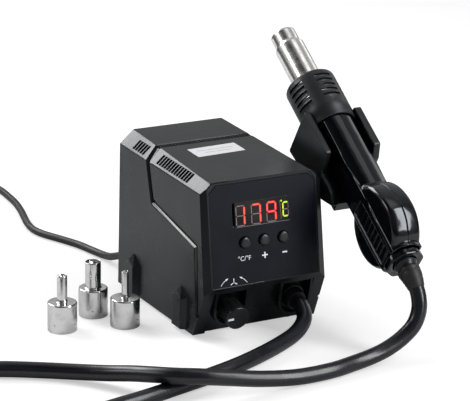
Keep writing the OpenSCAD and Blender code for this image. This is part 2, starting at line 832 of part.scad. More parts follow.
// One push button: its cap, its flange behind the panel and its stem
module button(i) {
    color([0.16, 0.16, 0.17]) on_panel()
        translate([button_mid + i * button_pitch, button_up, -button_in]) {
            cylinder(r = stem_r, h = button_in, $fn = 24);
            translate([0, 0, button_in - panel_t - wall - slack - flange_t])
                cylinder(r = button_r + flange_out, h = flange_t);
            rotate_extrude() polygon([
                [0, 2], [button_r, 2], [button_r, button_in + button_proud - 0.8],
                [button_r - 0.8, button_in + button_proud], [0, button_in + button_proud]
            ]);
        }
}
module button_unit() { button(-1); }
module button_plus() { button(0); }
module button_minus() { button(1); }

module air_knob() {
    back = knob_out - knob_len;
    color([0.12, 0.12, 0.13]) on_boss(-boss_x) difference() {
        rotate_extrude() polygon([
            [0, back], [knob_r - 0.2, back], [knob_r, back + 0.6], [knob_r, knob_out - 1],
            [knob_r - 1, knob_out], [0, knob_out]
        ]);
        translate([0, 0, back - 1]) cylinder(r = shaft_r + 0.05, h = knob_len - 3.9, $fn = 32);
        translate([0, 0, back - 1]) difference() {
            cylinder(r = knob_r - 1.8, h = 7);
            cylinder(r = shaft_r + 2.2, h = 7);
        }
        for (a = [0:30:330]) rotate([0, 0, a + 15]) translate([knob_r + 0.35, 0, back + 2])
            cylinder(r = 0.8, h = knob_len, $fn = 16);
        translate([-knob_r, -0.8, knob_out - 0.5]) cube([knob_r - 2, 1.6, 1]);
    }
}

module knob_shaft() {
    color([0.75, 0.75, 0.75]) on_boss(-boss_x) translate([0, 0, -boss_depth - wall - 7])
        cylinder(r = shaft_r, h = boss_depth + wall + 14, $fn = 32);
}

module potentiometer() {
    back = -boss_depth - wall;
    color([0.3, 0.3, 0.32]) on_boss(-boss_x) difference() {
        union() {
            translate([0, 0, back - 10]) cylinder(r = pot_r, h = 9.9);
            translate([0, 0, back - 2]) cylinder(r = bush_r, h = wall + 6, $fn = 32);
            translate([0, 0, -boss_depth + 0.1]) cylinder(r = 5.4, h = 2, $fn = 6);
            translate([-5, -pot_r - 4, back - 6]) cube([10, 6, 1.2]);
        }
        translate([0, 0, back - 7.3]) cylinder(r = shaft_r + fit, h = 30, $fn = 32);
    }
}

module hose_gland() {
    back = -boss_depth - wall;
    color([0.07, 0.07, 0.07]) on_boss(boss_x) difference() {
        union() {
            translate([0, 0, back - 4]) cylinder(r = 10, h = 3.9, $fn = 6);
            translate([0, 0, back - 6]) cylinder(r = gland_r, h = 18);
            translate([0, 0, -boss_depth + 0.1]) cylinder(r = 10.2, h = 5.2);
            translate([0, 0, -4]) cylinder(r1 = 9.4, r2 = 8.2, h = gland_out + 4);
        }
        translate([0, 0, back - 7]) cylinder(r = hose_d / 2 - 1.5, h = 30);
        translate([0, 0, -0.5]) cylinder(r = hose_d / 2 + fit, h = 10);
    }
}

module transformer_core() {
    color([0.4, 0.4, 0.42]) translate([trafo_x, trafo_y, plate_top + 0.05]) difference() {
        translate([-core_x / 2, -core_y / 2, 0]) cube([core_x, core_y, core_z]);
        for (s = [-1, 1]) translate([s * (core_x / 4 - 0.5) - 6, -core_y, 7])
            cube([12, 2 * core_y, core_z - 14]);
    }
}

module transformer_winding() {
    leg = core_x / 2 - 13;
    color([0.75, 0.6, 0.15]) translate([trafo_x, trafo_y, plate_top + 7.3]) difference() {
        translate([-leg / 2 - 11, -core_y / 2 - 9, 0])
            cube([leg + 22, core_y + 18, core_z - 14.5]);
        translate([-leg / 2 - 0.2, -core_y / 2 - 0.2, -1])
            cube([leg + 0.4, core_y + 0.4, core_z]);
    }
}

module power_board() {
    color([0.05, 0.3, 0.15]) difference() {
        translate([-pboard_x / 2, pboard_y, plate_top + peg_h + 0.05])
            cube([pboard_x, pboard_d, board_t]);
        for (p = BOARD_PEGS) translate([p.x, p.y, 0]) cylinder(r = 1.35, h = 40, $fn = 24);
    }
}

module board_parts() {
    color([0.1, 0.15, 0.35]) translate([0, 0, plate_top + peg_h + board_t + 0.1]) {
        for (c = CANS) translate(c[0]) cylinder(r = c[1], h = c[2]);
        for (b = BLOCKS) translate(b[0]) cube(b[1]);
    }
}

module heatsink() {
    z = plate_top + peg_h + board_t + 0.1;
    color([0.7, 0.7, 0.72]) translate([SINK.x, SINK.y, z]) {
        cube([3, 32, sink_h]);
        for (i = [0:sink_fins - 1]) translate([2.9, i * 7.2, 0]) cube([9, 2, sink_h]);
    }
}

module mains_cord_grip() {
    color([0.07, 0.07, 0.07]) translate([grip_x, rear_y, grip_z]) rotate([-90, 0, 0])
        difference() {
            union() {
                translate([0, 0, -wall - 4]) cylinder(r = grip_r, h = wall + 5);
                translate([0, 0, -wall - 3]) cylinder(r = grip_r + 2.6, h = 2.9);
                translate([0, 0, 0.1]) cylinder(r = grip_r + 2.6, h = 2.4);
                translate([0, 0, 2]) cylinder(r1 = 5.6, r2 = 4.6, h = grip_len - 2);
            }
            translate([0, 0, -grip_len]) cylinder(r = lead_d / 2 + fit, h = 3 * grip_len, $fn = 32);
        }
}

module holder_bracket() {
    color([0.13, 0.13, 0.14]) difference() {
        union() {
            translate([bracket_at, 0, 0]) rotate([90, 0, 90]) linear_extrude(bracket_t)
                polygon(BRACKET);
            for (p = BRACKET_SCREWS) translate([wall_x(p.y) + 0.1, p.x, p.y])
                rotate([0, 90, 0]) cylinder(r = 5, h = 3);
        }
        for (p = BRACKET_SCREWS) translate([0, p.x, p.y]) rotate([0, 90, 0])
            cylinder(r = screw_r + fit, h = 80);
        for (p = CRADLE_SCREWS) translate([0, p.x, p.y]) rotate([0, 90, 0])
            cylinder(r = screw_r + fit, h = 80);
    }
}

module bracket_screws() {
    color([0.6, 0.6, 0.6]) for (p = BRACKET_SCREWS)
        translate([bracket_at + bracket_t - bracket_screw, p.x, p.y]) rotate([0, 90, 0])
            screw(bracket_screw + 0.05);
}

module holder_cradle() {
    inner = holder_gap / 2;
    color([0.13, 0.13, 0.14]) difference() {
        union() {
            on_gun() {
                for (x = [-inner - cheek_t, inner]) translate([x, 0, 0])
                    rotate([0, 90, 0]) linear_extrude(cheek_t)
                        polygon([for (p = CHEEK) [-p.x, p.y]]);
                translate([-inner - 0.5, trough_q, handle_start + slack])
                    cube([holder_gap + 1, trough_h, trough_len]);
            }
            translate([gun_x - inner - cheek_t, 0, 0]) rotate([90, 0, 90])
                linear_extrude(cheek_t) polygon(TAB);
        }
        on_gun() cylinder(r = barrel_r + slack, h = 200);
        for (p = CRADLE_SCREWS) translate([bracket_at, p.x, p.y]) rotate([0, 90, 0])
            cylinder(r = screw_r, h = 9);
    }
}

module cradle_screws() {
    color([0.6, 0.6, 0.6]) for (p = CRADLE_SCREWS)
        translate([bracket_at + cradle_screw, p.x, p.y]) rotate([0, -90, 0])
            screw(cradle_screw + 0.05);
}

// Outer form of the handle moved in by t: the flat-sided barrel and the blower's drum
module handle_form(t) {
    r = barrel_r - t;
    intersection() {
        translate([0, 0, handle_start + t]) cylinder(r = r, h = handle_len - 2 * t);
        translate([t - handle_w / 2, -reach, 0]) cube([handle_w - 2 * t, 2 * reach, reach]);
    }
    translate([0, 0, blower_at]) rotate([0, 90, 0]) drum(blower_d / 2 - t, blower_w / 2 - t, 6);
}
module drum(r, half, edge) {
    rotate_extrude() polygon(concat(
        [[0, -half]],
        [for (a = [-90:30:0]) [r - edge + edge * cos(a), -half + edge + edge * sin(a)]],
        [for (a = [0:30:90]) [r - edge + edge * cos(a), half - edge + edge * sin(a)]],
        [[0, half]]
    ));
}

// Half of the handle on side s of its middle plane
module handle_half(s) {
    on_gun() difference() {
        union() {
            intersection() {
                difference() {
                    handle_form(0);
                    handle_form(handle_t);
                }
                translate([s > 0 ? 0.02 : -reach - 0.02, -reach, 0])
                    cube([reach, 2 * reach, reach]);
            }
            for (p = HANDLE_SCREWS) intersection() {
                translate([s > 0 ? 0.02 : -12, p.y, p.x]) rotate([0, 90, 0])
                    cylinder(r = 3.4, h = 11.98, $fn = 32);
                handle_form(handle_t - 0.2);
            }
        }
        translate([0, 0, handle_start - 1])
            cylinder(r = tube_d / 2 + fit, h = tube_end + mount_t + 1.2 - handle_start);
        translate([0, 0, handle_end - 4]) cylinder(r = 9 + fit, h = 6);
        for (i = [0:8]) translate([s * handle_w / 2, -1.8, 186 + i * 5.75])
            rotate([60, 0, 0]) translate([-4, -1.1, -7]) cube([8, 2.2, 14]);
        for (p = HANDLE_SCREWS) translate([-blower_w, p.y, p.x]) rotate([0, 90, 0])
            cylinder(r = screw_r + (s < 0 ? fit : 0), h = blower_w + bore_in, $fn = 24);
        if (s < 0) for (p = HANDLE_SCREWS) translate([-blower_w, p.y, p.x]) rotate([0, 90, 0])
            cylinder(r = head_r + 0.2, h = blower_w + screw_seat, $fn = 24);
    }
}
module handle_shell_left() { color([0.05, 0.05, 0.05]) handle_half(-1); }
module handle_shell_right() { color([0.05, 0.05, 0.05]) handle_half(1); }

module handle_screws() {
    color([0.6, 0.6, 0.6]) on_gun() for (p = HANDLE_SCREWS)
        translate([screw_seat + handle_screw, p.y, p.x]) rotate([0, -90, 0])
            screw(handle_screw + 0.05);
}

module heat_guard() {
    r = guard_d / 2;
    e = guard_start;
    color([0.08, 0.08, 0.08]) on_gun() difference() {
        rotate_extrude() polygon([
            [tube_d / 2 + 0.1, e], [r - 7, e], [r - 3, e + 1.4], [r - 0.8, e + 4.6], [r, e + 9],
            [r, handle_start - 0.05], [tube_d / 2 + 0.1, handle_start - 0.05],
            [tube_d / 2 + 0.1, handle_start - 2], [r - 2, handle_start - 4], [r - 2, e + 9],
            [r - 2.8, e + 5.6], [r - 4.4, e + 3.4], [r - 7, e + 2], [tube_d / 2 + 0.1, e + 2]
        ]);
        for (a = [0:90:270], i = [0:4]) rotate([0, 0, a])
            translate([-6.5, 0, guard_start + 12 + i * 4.6]) cube([13, r + 2, 2]);
    }
}

module heater_tube() {
    r = tube_d / 2;
    m = mouth_d / 2;
    color([0.75, 0.73, 0.7]) on_gun() rotate_extrude() polygon([
        [m - tube_t, 0], [m, 0], [m, mouth_len], [r, mouth_len + 2], [r, tube_end],
        [r - tube_t, tube_end], [r - tube_t, mouth_len + 2.4], [m - tube_t, mouth_len + 0.4]
    ]);
}

module mica_tube() {
    r = tube_d / 2 - tube_t - 0.1;
    color([0.8, 0.75, 0.6]) on_gun() rotate_extrude() polygon([
        [r - 0.7, mica_start], [r, mica_start], [r, tube_end], [r - 0.7, tube_end]
    ]);
}

module heater_core() {
    color([0.9, 0.88, 0.82]) on_gun() difference() {
        translate([0, 0, core_start])
            cylinder(r = core_r, h = tube_end - core_start - 0.1, $fn = 32);
        for (a = [0:120:240]) rotate([0, 0, a]) translate([core_r / 2, 0, core_start - 1])
            cylinder(r = 1.6, h = tube_end, $fn = 16);
    }
}

module heater_coil() {
    a = core_r + 0.05;
    b = core_r + wire_d;
    color([0.7, 0.5, 0.35]) on_gun() for (i = [0:9]) translate([0, 0, wire_start + i * wire_pitch])
        rotate_extrude($fn = 32) polygon([[a, 0], [b, 0], [b, wire_d], [a, wire_d]]);
}

module core_mount() {
    r = tube_d / 2;
    wire_hole = 2;
    air_hole = 1.8;
    air_in = 3.1;
    color([0.85, 0.83, 0.78]) on_gun() difference() {
        translate([0, 0, tube_end + 0.05]) cylinder(r = r, h = mount_t);
        for (a = [30:60:330]) rotate([0, 0, a]) translate([r - air_in, 0, tube_end - 1])
            cylinder(r = air_hole, h = 2 * mount_t, $fn = 16);
        translate([0, 0, tube_end - 1]) cylinder(r = wire_hole, h = 2 * mount_t, $fn = 16);
    }
}

module blower_motor() {
    side = blower_w / 2 - handle_t;
    color([0.2, 0.2, 0.22]) on_gun() translate([-side + 0.05, 0, blower_at])
        rotate([0, 90, 0]) difference() {
            union() {
                cylinder(r = 15, h = 1.5);
                cylinder(r = 12, h = 11.5);
            }
            translate([0, 0, 3]) cylinder(r = 1.2 + fit, h = 20, $fn = 24);
        }
}

module blower_impeller() {
    color([0.25, 0.25, 0.27]) on_gun() translate([1.6, 0, blower_at]) rotate([0, 90, 0]) {
        cylinder(r = 20, h = 1.4);
        translate([0, 0, -9]) cylinder(r = 1.2, h = 10, $fn = 24);
        for (a = [0:24:336]) rotate([0, 0, a]) translate([13.6, 0, 0.1]) rotate([0, 0, 35])
            translate([0, -0.5, -8.5]) cube([6, 1, 8.6]);
    }
}

module handle_end_collar() {
    color([0.06, 0.06, 0.06]) on_gun() difference() {
        union() {
            translate([0, 0, handle_end + 0.05]) rotate([0, 0, 22.5])
                cylinder(r = 16.5, h = collar_len, $fn = 8);
            translate([0, 0, handle_end - 5]) cylinder(r = 9, h = 6);
        }
        translate([0, 0, handle_end - 6]) cylinder(r = hose_d / 2 - 1, h = 20);
    }
}

module hose_boot() {
    color([0.05, 0.05, 0.05]) on_gun() difference() {
        translate([0, 0, handle_end + collar_len + 0.1])
            cylinder(r1 = 10, r2 = 7.5, h = boot_len - 0.1);
        translate([0, 0, handle_end]) cylinder(r = hose_d / 2 - 1, h = 30);
    }
}

// Collar of nozzle i, open at its foot, with a row of dimples round it
module collar(i) {
    r = collar_d / 2;
    color([0.8, 0.8, 0.8]) translate([NOZZLES[i].x, NOZZLES[i].y, 0]) difference() {
        rotate_extrude() polygon([
            [r - collar_t, 0], [r, 0], [r, collar_h - 1], [r - 1, collar_h],
            [outlet_d[i] / 2 + 0.05, collar_h], [outlet_d[i] / 2 + 0.05, collar_h - cap_t],
            [r - collar_t, collar_h - cap_t - 1]
        ]);
        for (a = [0:60:300]) rotate([0, 0, a + 20]) translate([r - 0.35, 0, 5])
            rotate([0, 90, 0]) cylinder(r = 1, h = 2, $fn = 16);
    }
}

// Outlet tube of nozzle i, with the flange that holds it under the collar's cap
module outlet(i) {
    r = outlet_d[i] / 2;
    color([0.82, 0.82, 0.82]) translate([NOZZLES[i].x, NOZZLES[i].y, 0])
        rotate_extrude($fn = 32) polygon([
            [r - outlet_t, collar_h - cap_t - 1], [r + 1.2, collar_h - cap_t - 1],
            [r + 1.2, collar_h - cap_t - 0.4], [r, collar_h - cap_t - 0.3],
            [r, collar_h + outlet_h], [r - outlet_t, collar_h + outlet_h]
        ]);
}
module nozzle_collar_left() { collar(0); }
module nozzle_collar_middle() { collar(1); }
module nozzle_collar_right() { collar(2); }
module nozzle_outlet_left() { outlet(0); }
module nozzle_outlet_middle() { outlet(1); }
module nozzle_outlet_right() { outlet(2); }

module gun_hose() {
    color([0.07, 0.07, 0.07]) cord(concat(
        [gun_point(gun_end + 0.3), gun_point(gun_end + 10)], HOSE_ROUTE,
        [boss_point(boss_x, 10), boss_point(boss_x, 4), boss_point(boss_x, -0.3)]
    ), hose_d / 2, 12);
}

module mains_lead() {
    color([0.06, 0.06, 0.06]) cord(concat(
        [[grip_x, rear_y - wall - 5, grip_z], [grip_x, rear_y + grip_len, grip_z]], LEAD_ROUTE
    ), lead_d / 2, 8);
}

// Bundle of the mains lead's turns on the floor, held by a tie at its front
module coil_outline() {
    c = 3;
    w = coil_w / 2;
    translate([coil_r, 0]) polygon([
        [c - w, 0], [w - c, 0], [w, c], [w, coil_h - c], [w - c, coil_h], [c - w, coil_h],
        [-w, coil_h - c], [-w, c]
    ]);
}

module mains_coil() {
    color([0.06, 0.06, 0.06]) {
        translate([coil_x, coil_y, 0]) difference() {
            rotate_extrude() coil_outline();
            translate([-tie_w / 2 - fit, -coil_r - coil_w / 2 - 3, -1]) difference() {
                cube([tie_w + 2 * fit, coil_w + 6, coil_h + 2]);
                translate([-1, 3 + tie_t + fit, 1 + tie_t + fit])
                    cube([tie_w + 4, coil_w - 2 * (tie_t + fit), coil_h - 2 * (tie_t + fit)]);
            }
        }
        cord(TAIL, lead_d / 2, 8);
    }
}

module cord_tie() {
    color([0.1, 0.1, 0.1]) translate([coil_x - tie_w / 2, coil_y - coil_r - coil_w / 2, 0])
        difference() {
            cube([tie_w, coil_w, coil_h]);
            translate([-1, tie_t, tie_t])
                cube([tie_w + 2, coil_w - 2 * tie_t, coil_h - 2 * tie_t]);
        }
}

module mains_plug() {
    color([0.07, 0.07, 0.07]) translate([plug_x, plug_y, plug_r]) rotate([90, 0, 0])
        difference() {
            rotate_extrude() polygon([
                [0, 0], [5, 0], [7, 8], [14, 12], [plug_r, 16], [plug_r, plug_len - 1.5],
                [plug_r - 1.5, plug_len], [0, plug_len]
            ]);
            translate([0, 0, -1]) cylinder(r = lead_d / 2 + 0.1, h = 7, $fn = 24);
            for (s = [-1, 1]) translate([s * pin_gap / 2, 0, plug_len - 8])
                cylinder(r = pin_r + 0.05, h = 10, $fn = 24);
        }
}

module plug_pins() {
    color([0.8, 0.78, 0.7]) translate([plug_x, plug_y - plug_len, plug_r]) rotate([90, 0, 0])
        for (s = [-1, 1]) translate([s * pin_gap / 2, 0, -7.9]) {
            cylinder(r = pin_r, h = pin_len + 6.9, $fn = 24);
            translate([0, 0, pin_len + 6.8]) cylinder(r1 = pin_r, r2 = 1.4, h = 1.2, $fn = 24);
        }
}

base_plate();
rubber_feet();
base_screws();
front_shell();
rear_shell();
control_panel();
display_window();
led_display();
control_board();
board_screws();
tact_switches();
button_unit();
button_plus();
button_minus();
air_knob();
knob_shaft();
potentiometer();
hose_gland();
transformer_core();
transformer_winding();
power_board();
board_parts();
heatsink();
mains_cord_grip();
holder_bracket();
bracket_screws();
holder_cradle();
cradle_screws();
handle_shell_left();
handle_shell_right();
handle_screws();
heat_guard();
heater_tube();
mica_tube();
heater_core();
heater_coil();
core_mount();
blower_motor();
blower_impeller();
handle_end_collar();
hose_boot();
nozzle_collar_left();
nozzle_outlet_left();
nozzle_collar_middle();
nozzle_outlet_middle();
nozzle_collar_right();
nozzle_outlet_right();
gun_hose();
mains_lead();
mains_coil();
cord_tie();
mains_plug();
plug_pins();
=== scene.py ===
import json
import math

import bmesh
import bpy
import numpy as np
from mathutils import Matrix


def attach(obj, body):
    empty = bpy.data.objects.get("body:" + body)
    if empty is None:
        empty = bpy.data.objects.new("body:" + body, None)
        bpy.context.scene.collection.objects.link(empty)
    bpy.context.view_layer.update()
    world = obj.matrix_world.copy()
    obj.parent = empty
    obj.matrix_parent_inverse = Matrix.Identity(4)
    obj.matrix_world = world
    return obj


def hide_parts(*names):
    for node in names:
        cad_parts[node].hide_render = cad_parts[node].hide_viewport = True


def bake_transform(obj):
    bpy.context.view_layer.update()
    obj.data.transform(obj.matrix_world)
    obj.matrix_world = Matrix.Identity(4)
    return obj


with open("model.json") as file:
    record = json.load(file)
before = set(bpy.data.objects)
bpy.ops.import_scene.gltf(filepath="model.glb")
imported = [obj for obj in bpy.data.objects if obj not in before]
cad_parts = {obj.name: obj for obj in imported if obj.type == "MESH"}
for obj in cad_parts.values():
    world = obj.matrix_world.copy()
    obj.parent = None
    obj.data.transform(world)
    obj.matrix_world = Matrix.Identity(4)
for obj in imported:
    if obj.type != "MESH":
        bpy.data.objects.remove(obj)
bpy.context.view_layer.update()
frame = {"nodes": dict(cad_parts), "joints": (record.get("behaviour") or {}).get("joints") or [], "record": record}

millimetre = 0.001
joints = {joint["name"]: joint for joint in frame["joints"]}
mounts = {mount["name"]: mount for mount in frame["record"]["mounts"]}
print("frame loaded with", len(frame["nodes"]), "nodes")


# vector v at length 1
def unit(v):
    v = np.asarray(v, float)
    return v / np.linalg.norm(v)


# a place is an origin and two axes; it takes local millimetres to metres in the row frame
def placing(origin, axisX, axisZ):
    x, z = unit(axisX), unit(axisZ)
    axes = np.array([x, np.cross(z, x), z])
    start = np.asarray(origin, float)

    def place(points):
        return start + millimetre * (np.asarray(points, float) @ axes)

    return place


across = (1, 0, 0)
panelOut = -np.array(joints["plus_press"]["axis"])
knobOut = np.array(joints["knob_turn"]["axis"])
gunBack = -np.array(mounts["gun_mouth"]["axis"])
boxShape = {
    "panelFoot": (0.0, -0.079, 0.0454),
    "topRear": (0.0, 0.079, 0.136),
    "topSlope": math.radians(2.546),
    # in millimetres: half the width at the walls' foot, how much that loses per height, and the foot
    "wall": (56.0, 1.8 / 134.0, 2.0),
    "halfMouthLength": 5.75 * millimetre,
}
topAlong = (0, math.cos(boxShape["topSlope"]), math.sin(boxShape["topSlope"]))
onPanel = placing(boxShape["panelFoot"], across, panelOut)
onKnob = placing(joints["knob_turn"]["pos_m"], across, knobOut)
onGun = placing(
    np.array(mounts["gun_mouth"]["pos_m"]) - gunBack * boxShape["halfMouthLength"], across, gunBack
)
onTop = placing(boxShape["topRear"], across, np.cross(across, topAlong))
onFloor = placing((0, 0, 0), across, (0, 0, 1))


# the photograph's camera: a long lens to the left of the front, a little above
cameraShape = {
    "place": (-0.8169, -1.5150, 0.6420),
    "azimuth": math.radians(28.72),
    "elevation": math.radians(17.77),
    "roll": math.radians(0.99),
    "sensor": 36.0,
    "lens": 2200 / 470 * 36.0,
}


def addCamera(shape):
    az, el, roll = shape["azimuth"], shape["elevation"], shape["roll"]
    ahead = np.array(
        [math.sin(az) * math.cos(el), math.cos(az) * math.cos(el), -math.sin(el)]
    )
    right = unit(np.cross(ahead, (0, 0, 1)))
    up = np.cross(right, ahead)
    data = bpy.data.cameras.new("photoCamera")
    data.sensor_fit = "HORIZONTAL"
    data.sensor_width = shape["sensor"]
    data.lens = shape["lens"]
    data.clip_end = 30.0
    camera = bpy.data.objects.new("photoCamera", data)
    bpy.context.collection.objects.link(camera)
    matrix = np.eye(4)
    matrix[:3, 0] = right * math.cos(roll) + up * math.sin(roll)
    matrix[:3, 1] = up * math.cos(roll) - right * math.sin(roll)
    matrix[:3, 2] = -ahead
    matrix[:3, 3] = shape["place"]
    camera.matrix_world = Matrix(matrix.tolist())
    bpy.context.scene.camera = camera


addCamera(cameraShape)
print("camera placed")


# mesh helpers

# turns a closed mesh's faces outwards where they enclose a negative volume
def facingOut(mesh):
    mesh.calc_loop_triangles()
    corners = np.empty(3 * len(mesh.loop_triangles), np.int32)
    mesh.loop_triangles.foreach_get("vertices", corners)
    points = np.empty(3 * len(mesh.vertices), np.float32)
    mesh.vertices.foreach_get("co", points)
    points = points.reshape(-1, 3).astype(float)
    a, b, c = (points - points[0])[corners.reshape(-1, 3)].transpose(1, 0, 2)
    if np.einsum("ij,ij->", a, np.cross(b, c)) < 0:
        mesh.flip_normals()


# object from points in metres and lists of corner numbers, riding on a body; its look names its finish
def addPiece(name, points, faces, body, look, smooth=True):
    mesh = bpy.data.meshes.new(name)
    mesh.from_pydata(np.asarray(points, float).tolist(), [], [list(f) for f in faces])
    mesh.update()
    facingOut(mesh)
    mesh.polygons.foreach_set("use_smooth", np.full(len(mesh.polygons), smooth))
    mesh.materials.append(finish[look])
    piece = bpy.data.objects.new(name, mesh)
    bpy.context.collection.objects.link(piece)
    if body:
        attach(piece, body)
    return piece


# corner numbers of the quads of a grid that is closed round its columns, and round its rows if asked
def gridFaces(rows, cols, rowsClosed=False):
    r, c = np.meshgrid(np.arange(rows if rowsClosed else rows - 1), np.arange(cols), indexing="ij")
    r2, c2 = (r + 1) % rows, (c + 1) % cols
    return np.stack([r * cols + c, r * cols + c2, r2 * cols + c2, r2 * cols + c], -1).reshape(-1, 4)


# skin over a stack of rings, closed at both ends by a fan to the ring's middle
def addStack(name, rings, body, look):
    rows, cols = rings.shape[:2]
    points = np.vstack([rings.reshape(-1, 3), rings[0].mean(0), rings[-1].mean(0)])
    k = np.arange(cols)
    n = (k + 1) % cols
    foot = np.stack([n, k, np.full(cols, rows * cols)], -1)
    head = np.stack([k, n, np.full(cols, rows * cols + 1)], -1)
    head[:, :2] += (rows - 1) * cols
    faces = gridFaces(rows, cols).tolist() + foot.tolist() + head.tolist()
    return addPiece(name, points, faces, body, look)


# curve in place of a corner, from a cut before it to a cut after it
def cutCorner(corner, before, after, cut, steps):
    start, end = corner + unit(before) * cut, corner + unit(after) * cut
    t = np.linspace(0, 1, steps + 1)[:, None]
    return list((1 - t) ** 2 * start + 2 * t * (1 - t) * corner + t * t * end)


# points of an outline with every corner rounded; a point may bring its own radius as third value
def rounded(outline, radius, steps=5):
    points = []
    for i, place in enumerate(outline):
        corner = np.array(place[:2], float)
        before = np.array(outline[i - 1][:2], float) - corner
        after = np.array(outline[(i + 1) % len(outline)][:2], float) - corner
        r = place[2] if len(place) > 2 else radius
        half = math.acos(np.clip(unit(before) @ unit(after), -1, 1)) / 2
        cut = min(r / math.tan(half), 0.48 * np.linalg.norm(before), 0.48 * np.linalg.norm(after))
        points += [corner] if cut < 1e-3 else cutCorner(corner, before, after, cut, steps)
    return np.array(points)


# points of a profile, a line from its first to its last point, with its inner corners rounded
def roundedLine(profile, radius, steps=4):
    points = [np.array(profile[0][:2], float)]
    for previous, place, following in zip(profile, profile[1:], profile[2:]):
        corner = np.array(place[:2], float)
        before = np.array(previous[:2], float) - corner
        after = np.array(following[:2], float) - corner
        r = place[2] if len(place) > 2 else radius
        cut = min(r, 0.45 * np.linalg.norm(before), 0.45 * np.linalg.norm(after))
        points += cutCorner(corner, before, after, cut, steps)
    points.append(np.array(profile[-1][:2], float))
    return np.array(points)


# corners of an upright rectangle
def span(left, right, low, high):
    return [(left, low), (right, low), (right, high), (left, high)]


def bar(x, y, halfWidth, halfHeight):
    return span(x - halfWidth, x + halfWidth, y - halfHeight, y + halfHeight)


def rectangle(middle, halfWidth, halfHeight, radius, steps=4):
    return rounded(bar(*middle, halfWidth, halfHeight), radius, steps)


# rings of a profile of (radius, height) turned about the height; shift(r, z, angle) changes the radius
def turnedRings(profile, sides, shift=None):
    profile = np.asarray(profile, float)
    angle = np.linspace(0, 2 * math.pi, sides, endpoint=False)[None, :]
    r = np.maximum(profile[:, :1], 0.02) + 0 * angle
    z = profile[:, 1:2] + 0 * angle
    if shift is not None:
        r = r + shift(r, z, angle)
    return np.stack([r * np.cos(angle), r * np.sin(angle), z], -1)


def addTurned(name, profile, place, body, look, sides=64, shift=None):
    return addStack(name, place(turnedRings(profile, sides, shift)), body, look)


# hollow turned piece: its profile is a closed loop
def addTurnedLoop(name, profile, place, body, look, sides=64, shift=None):
    rings = place(turnedRings(profile, sides, shift))
    rows, cols = rings.shape[:2]
    faces = gridFaces(rows, cols, rowsClosed=True).tolist()
    return addPiece(name, rings.reshape(-1, 3), faces, body, look)


# closed outline moved inwards along its corner normals; the outline runs anticlockwise
def insetBy(outline, distance):
    ahead = np.roll(outline, -1, 0) - outline
    ahead = ahead / np.maximum(np.linalg.norm(ahead, axis=1, keepdims=True), 1e-9)
    left = np.stack([-ahead[:, 1], ahead[:, 0]], -1)
    before = np.roll(left, 1, 0)
    middle = (left + before) / np.maximum(1 + np.sum(left * before, 1, keepdims=True), 0.3)
    return outline + distance * middle


# skin over a stack of rings, closed at both ends by one flat face
def addPrism(name, rings, place, body, look, smooth=True):
    rows, cols = rings.shape[:2]
    faces = gridFaces(rows, cols).tolist()
    faces += [list(range(cols))[::-1], list(range((rows - 1) * cols, rows * cols))]
    return addPiece(name, place(rings.reshape(-1, 3)), faces, body, look, smooth)


# how far in and how far up each ring of a rim is that is rounded over by a quarter circle
def rimSteps(edge, steps):
    turn = np.linspace(0, math.pi / 2, steps + 1)
    return [(edge * (1 - math.sin(t)), edge * (1 - math.cos(t))) for t in turn]


# plate of an outline between two heights, with rounded rims and flat faces
def addSlab(name, outline, low, high, place, body, look, slot=None, edge=0.2, steps=3):
    outline = np.asarray(outline, float)
    x, y = outline.T
    if np.sum(x * np.roll(y, -1) - np.roll(x, -1) * y) < 0:
        outline = outline[::-1]
    rim = rimSteps(edge, steps)
    levels = [(inward, low + up) for inward, up in rim]
    levels += [(inward, high - down) for inward, down in rim[::-1]]
    rings = np.array(
        [np.column_stack([insetBy(outline, d), np.full(len(outline), h)]) for d, h in levels]
    )
    piece = addPrism(name, rings, place, body, look)
    smooth = np.ones(len(piece.data.polygons), bool)
    smooth[-2:] = False
    piece.data.polygons.foreach_set("use_smooth", smooth)
    return piece


# one object from several, which ride on one body and share their material
def joined(name, pieces):
    first = pieces[0]
    points, faces, smooth = [], [], []
    for piece in pieces:
        start = len(points)
        points += [tuple(v.co) for v in piece.data.vertices]
        faces += [[start + i for i in f.vertices] for f in piece.data.polygons]
        smooth += [f.use_smooth for f in piece.data.polygons]
    mesh = bpy.data.meshes.new(name)
    mesh.from_pydata(points, [], faces)
    mesh.polygons.foreach_set("use_smooth", smooth)
    mesh.materials.append(first.data.materials[0])
    first.data = mesh
    first.name = name
    for piece in pieces[1:]:
        bpy.data.objects.remove(piece)
    return first


# route through all points, smooth by Catmull-Rom arcs with a number of steps each
def smoothRoute(points, steps):
    p = np.asarray(points, float)
    p = np.vstack([2 * p[0] - p[1], p, 2 * p[-1] - p[-2]])
    t = np.linspace(0, 1, steps, endpoint=False)[:, None]
    arcs = [
        0.5 * (
            2 * b + (c - a) * t + (2 * a - 5 * b + 4 * c - d) * t**2
            + (3 * b - a - 3 * c + d) * t**3
        )
        for a, b, c, d in zip(p, p[1:], p[2:], p[3:])
    ]
    return np.vstack(arcs + [p[-2:-1]])


# how far along a route each of its points is
def walkedAlong(route):
    return np.concatenate([[0], np.cumsum(np.linalg.norm(np.diff(route, axis=0), axis=1))])


def routeLength(route):
    return float(walkedAlong(route)[-1])


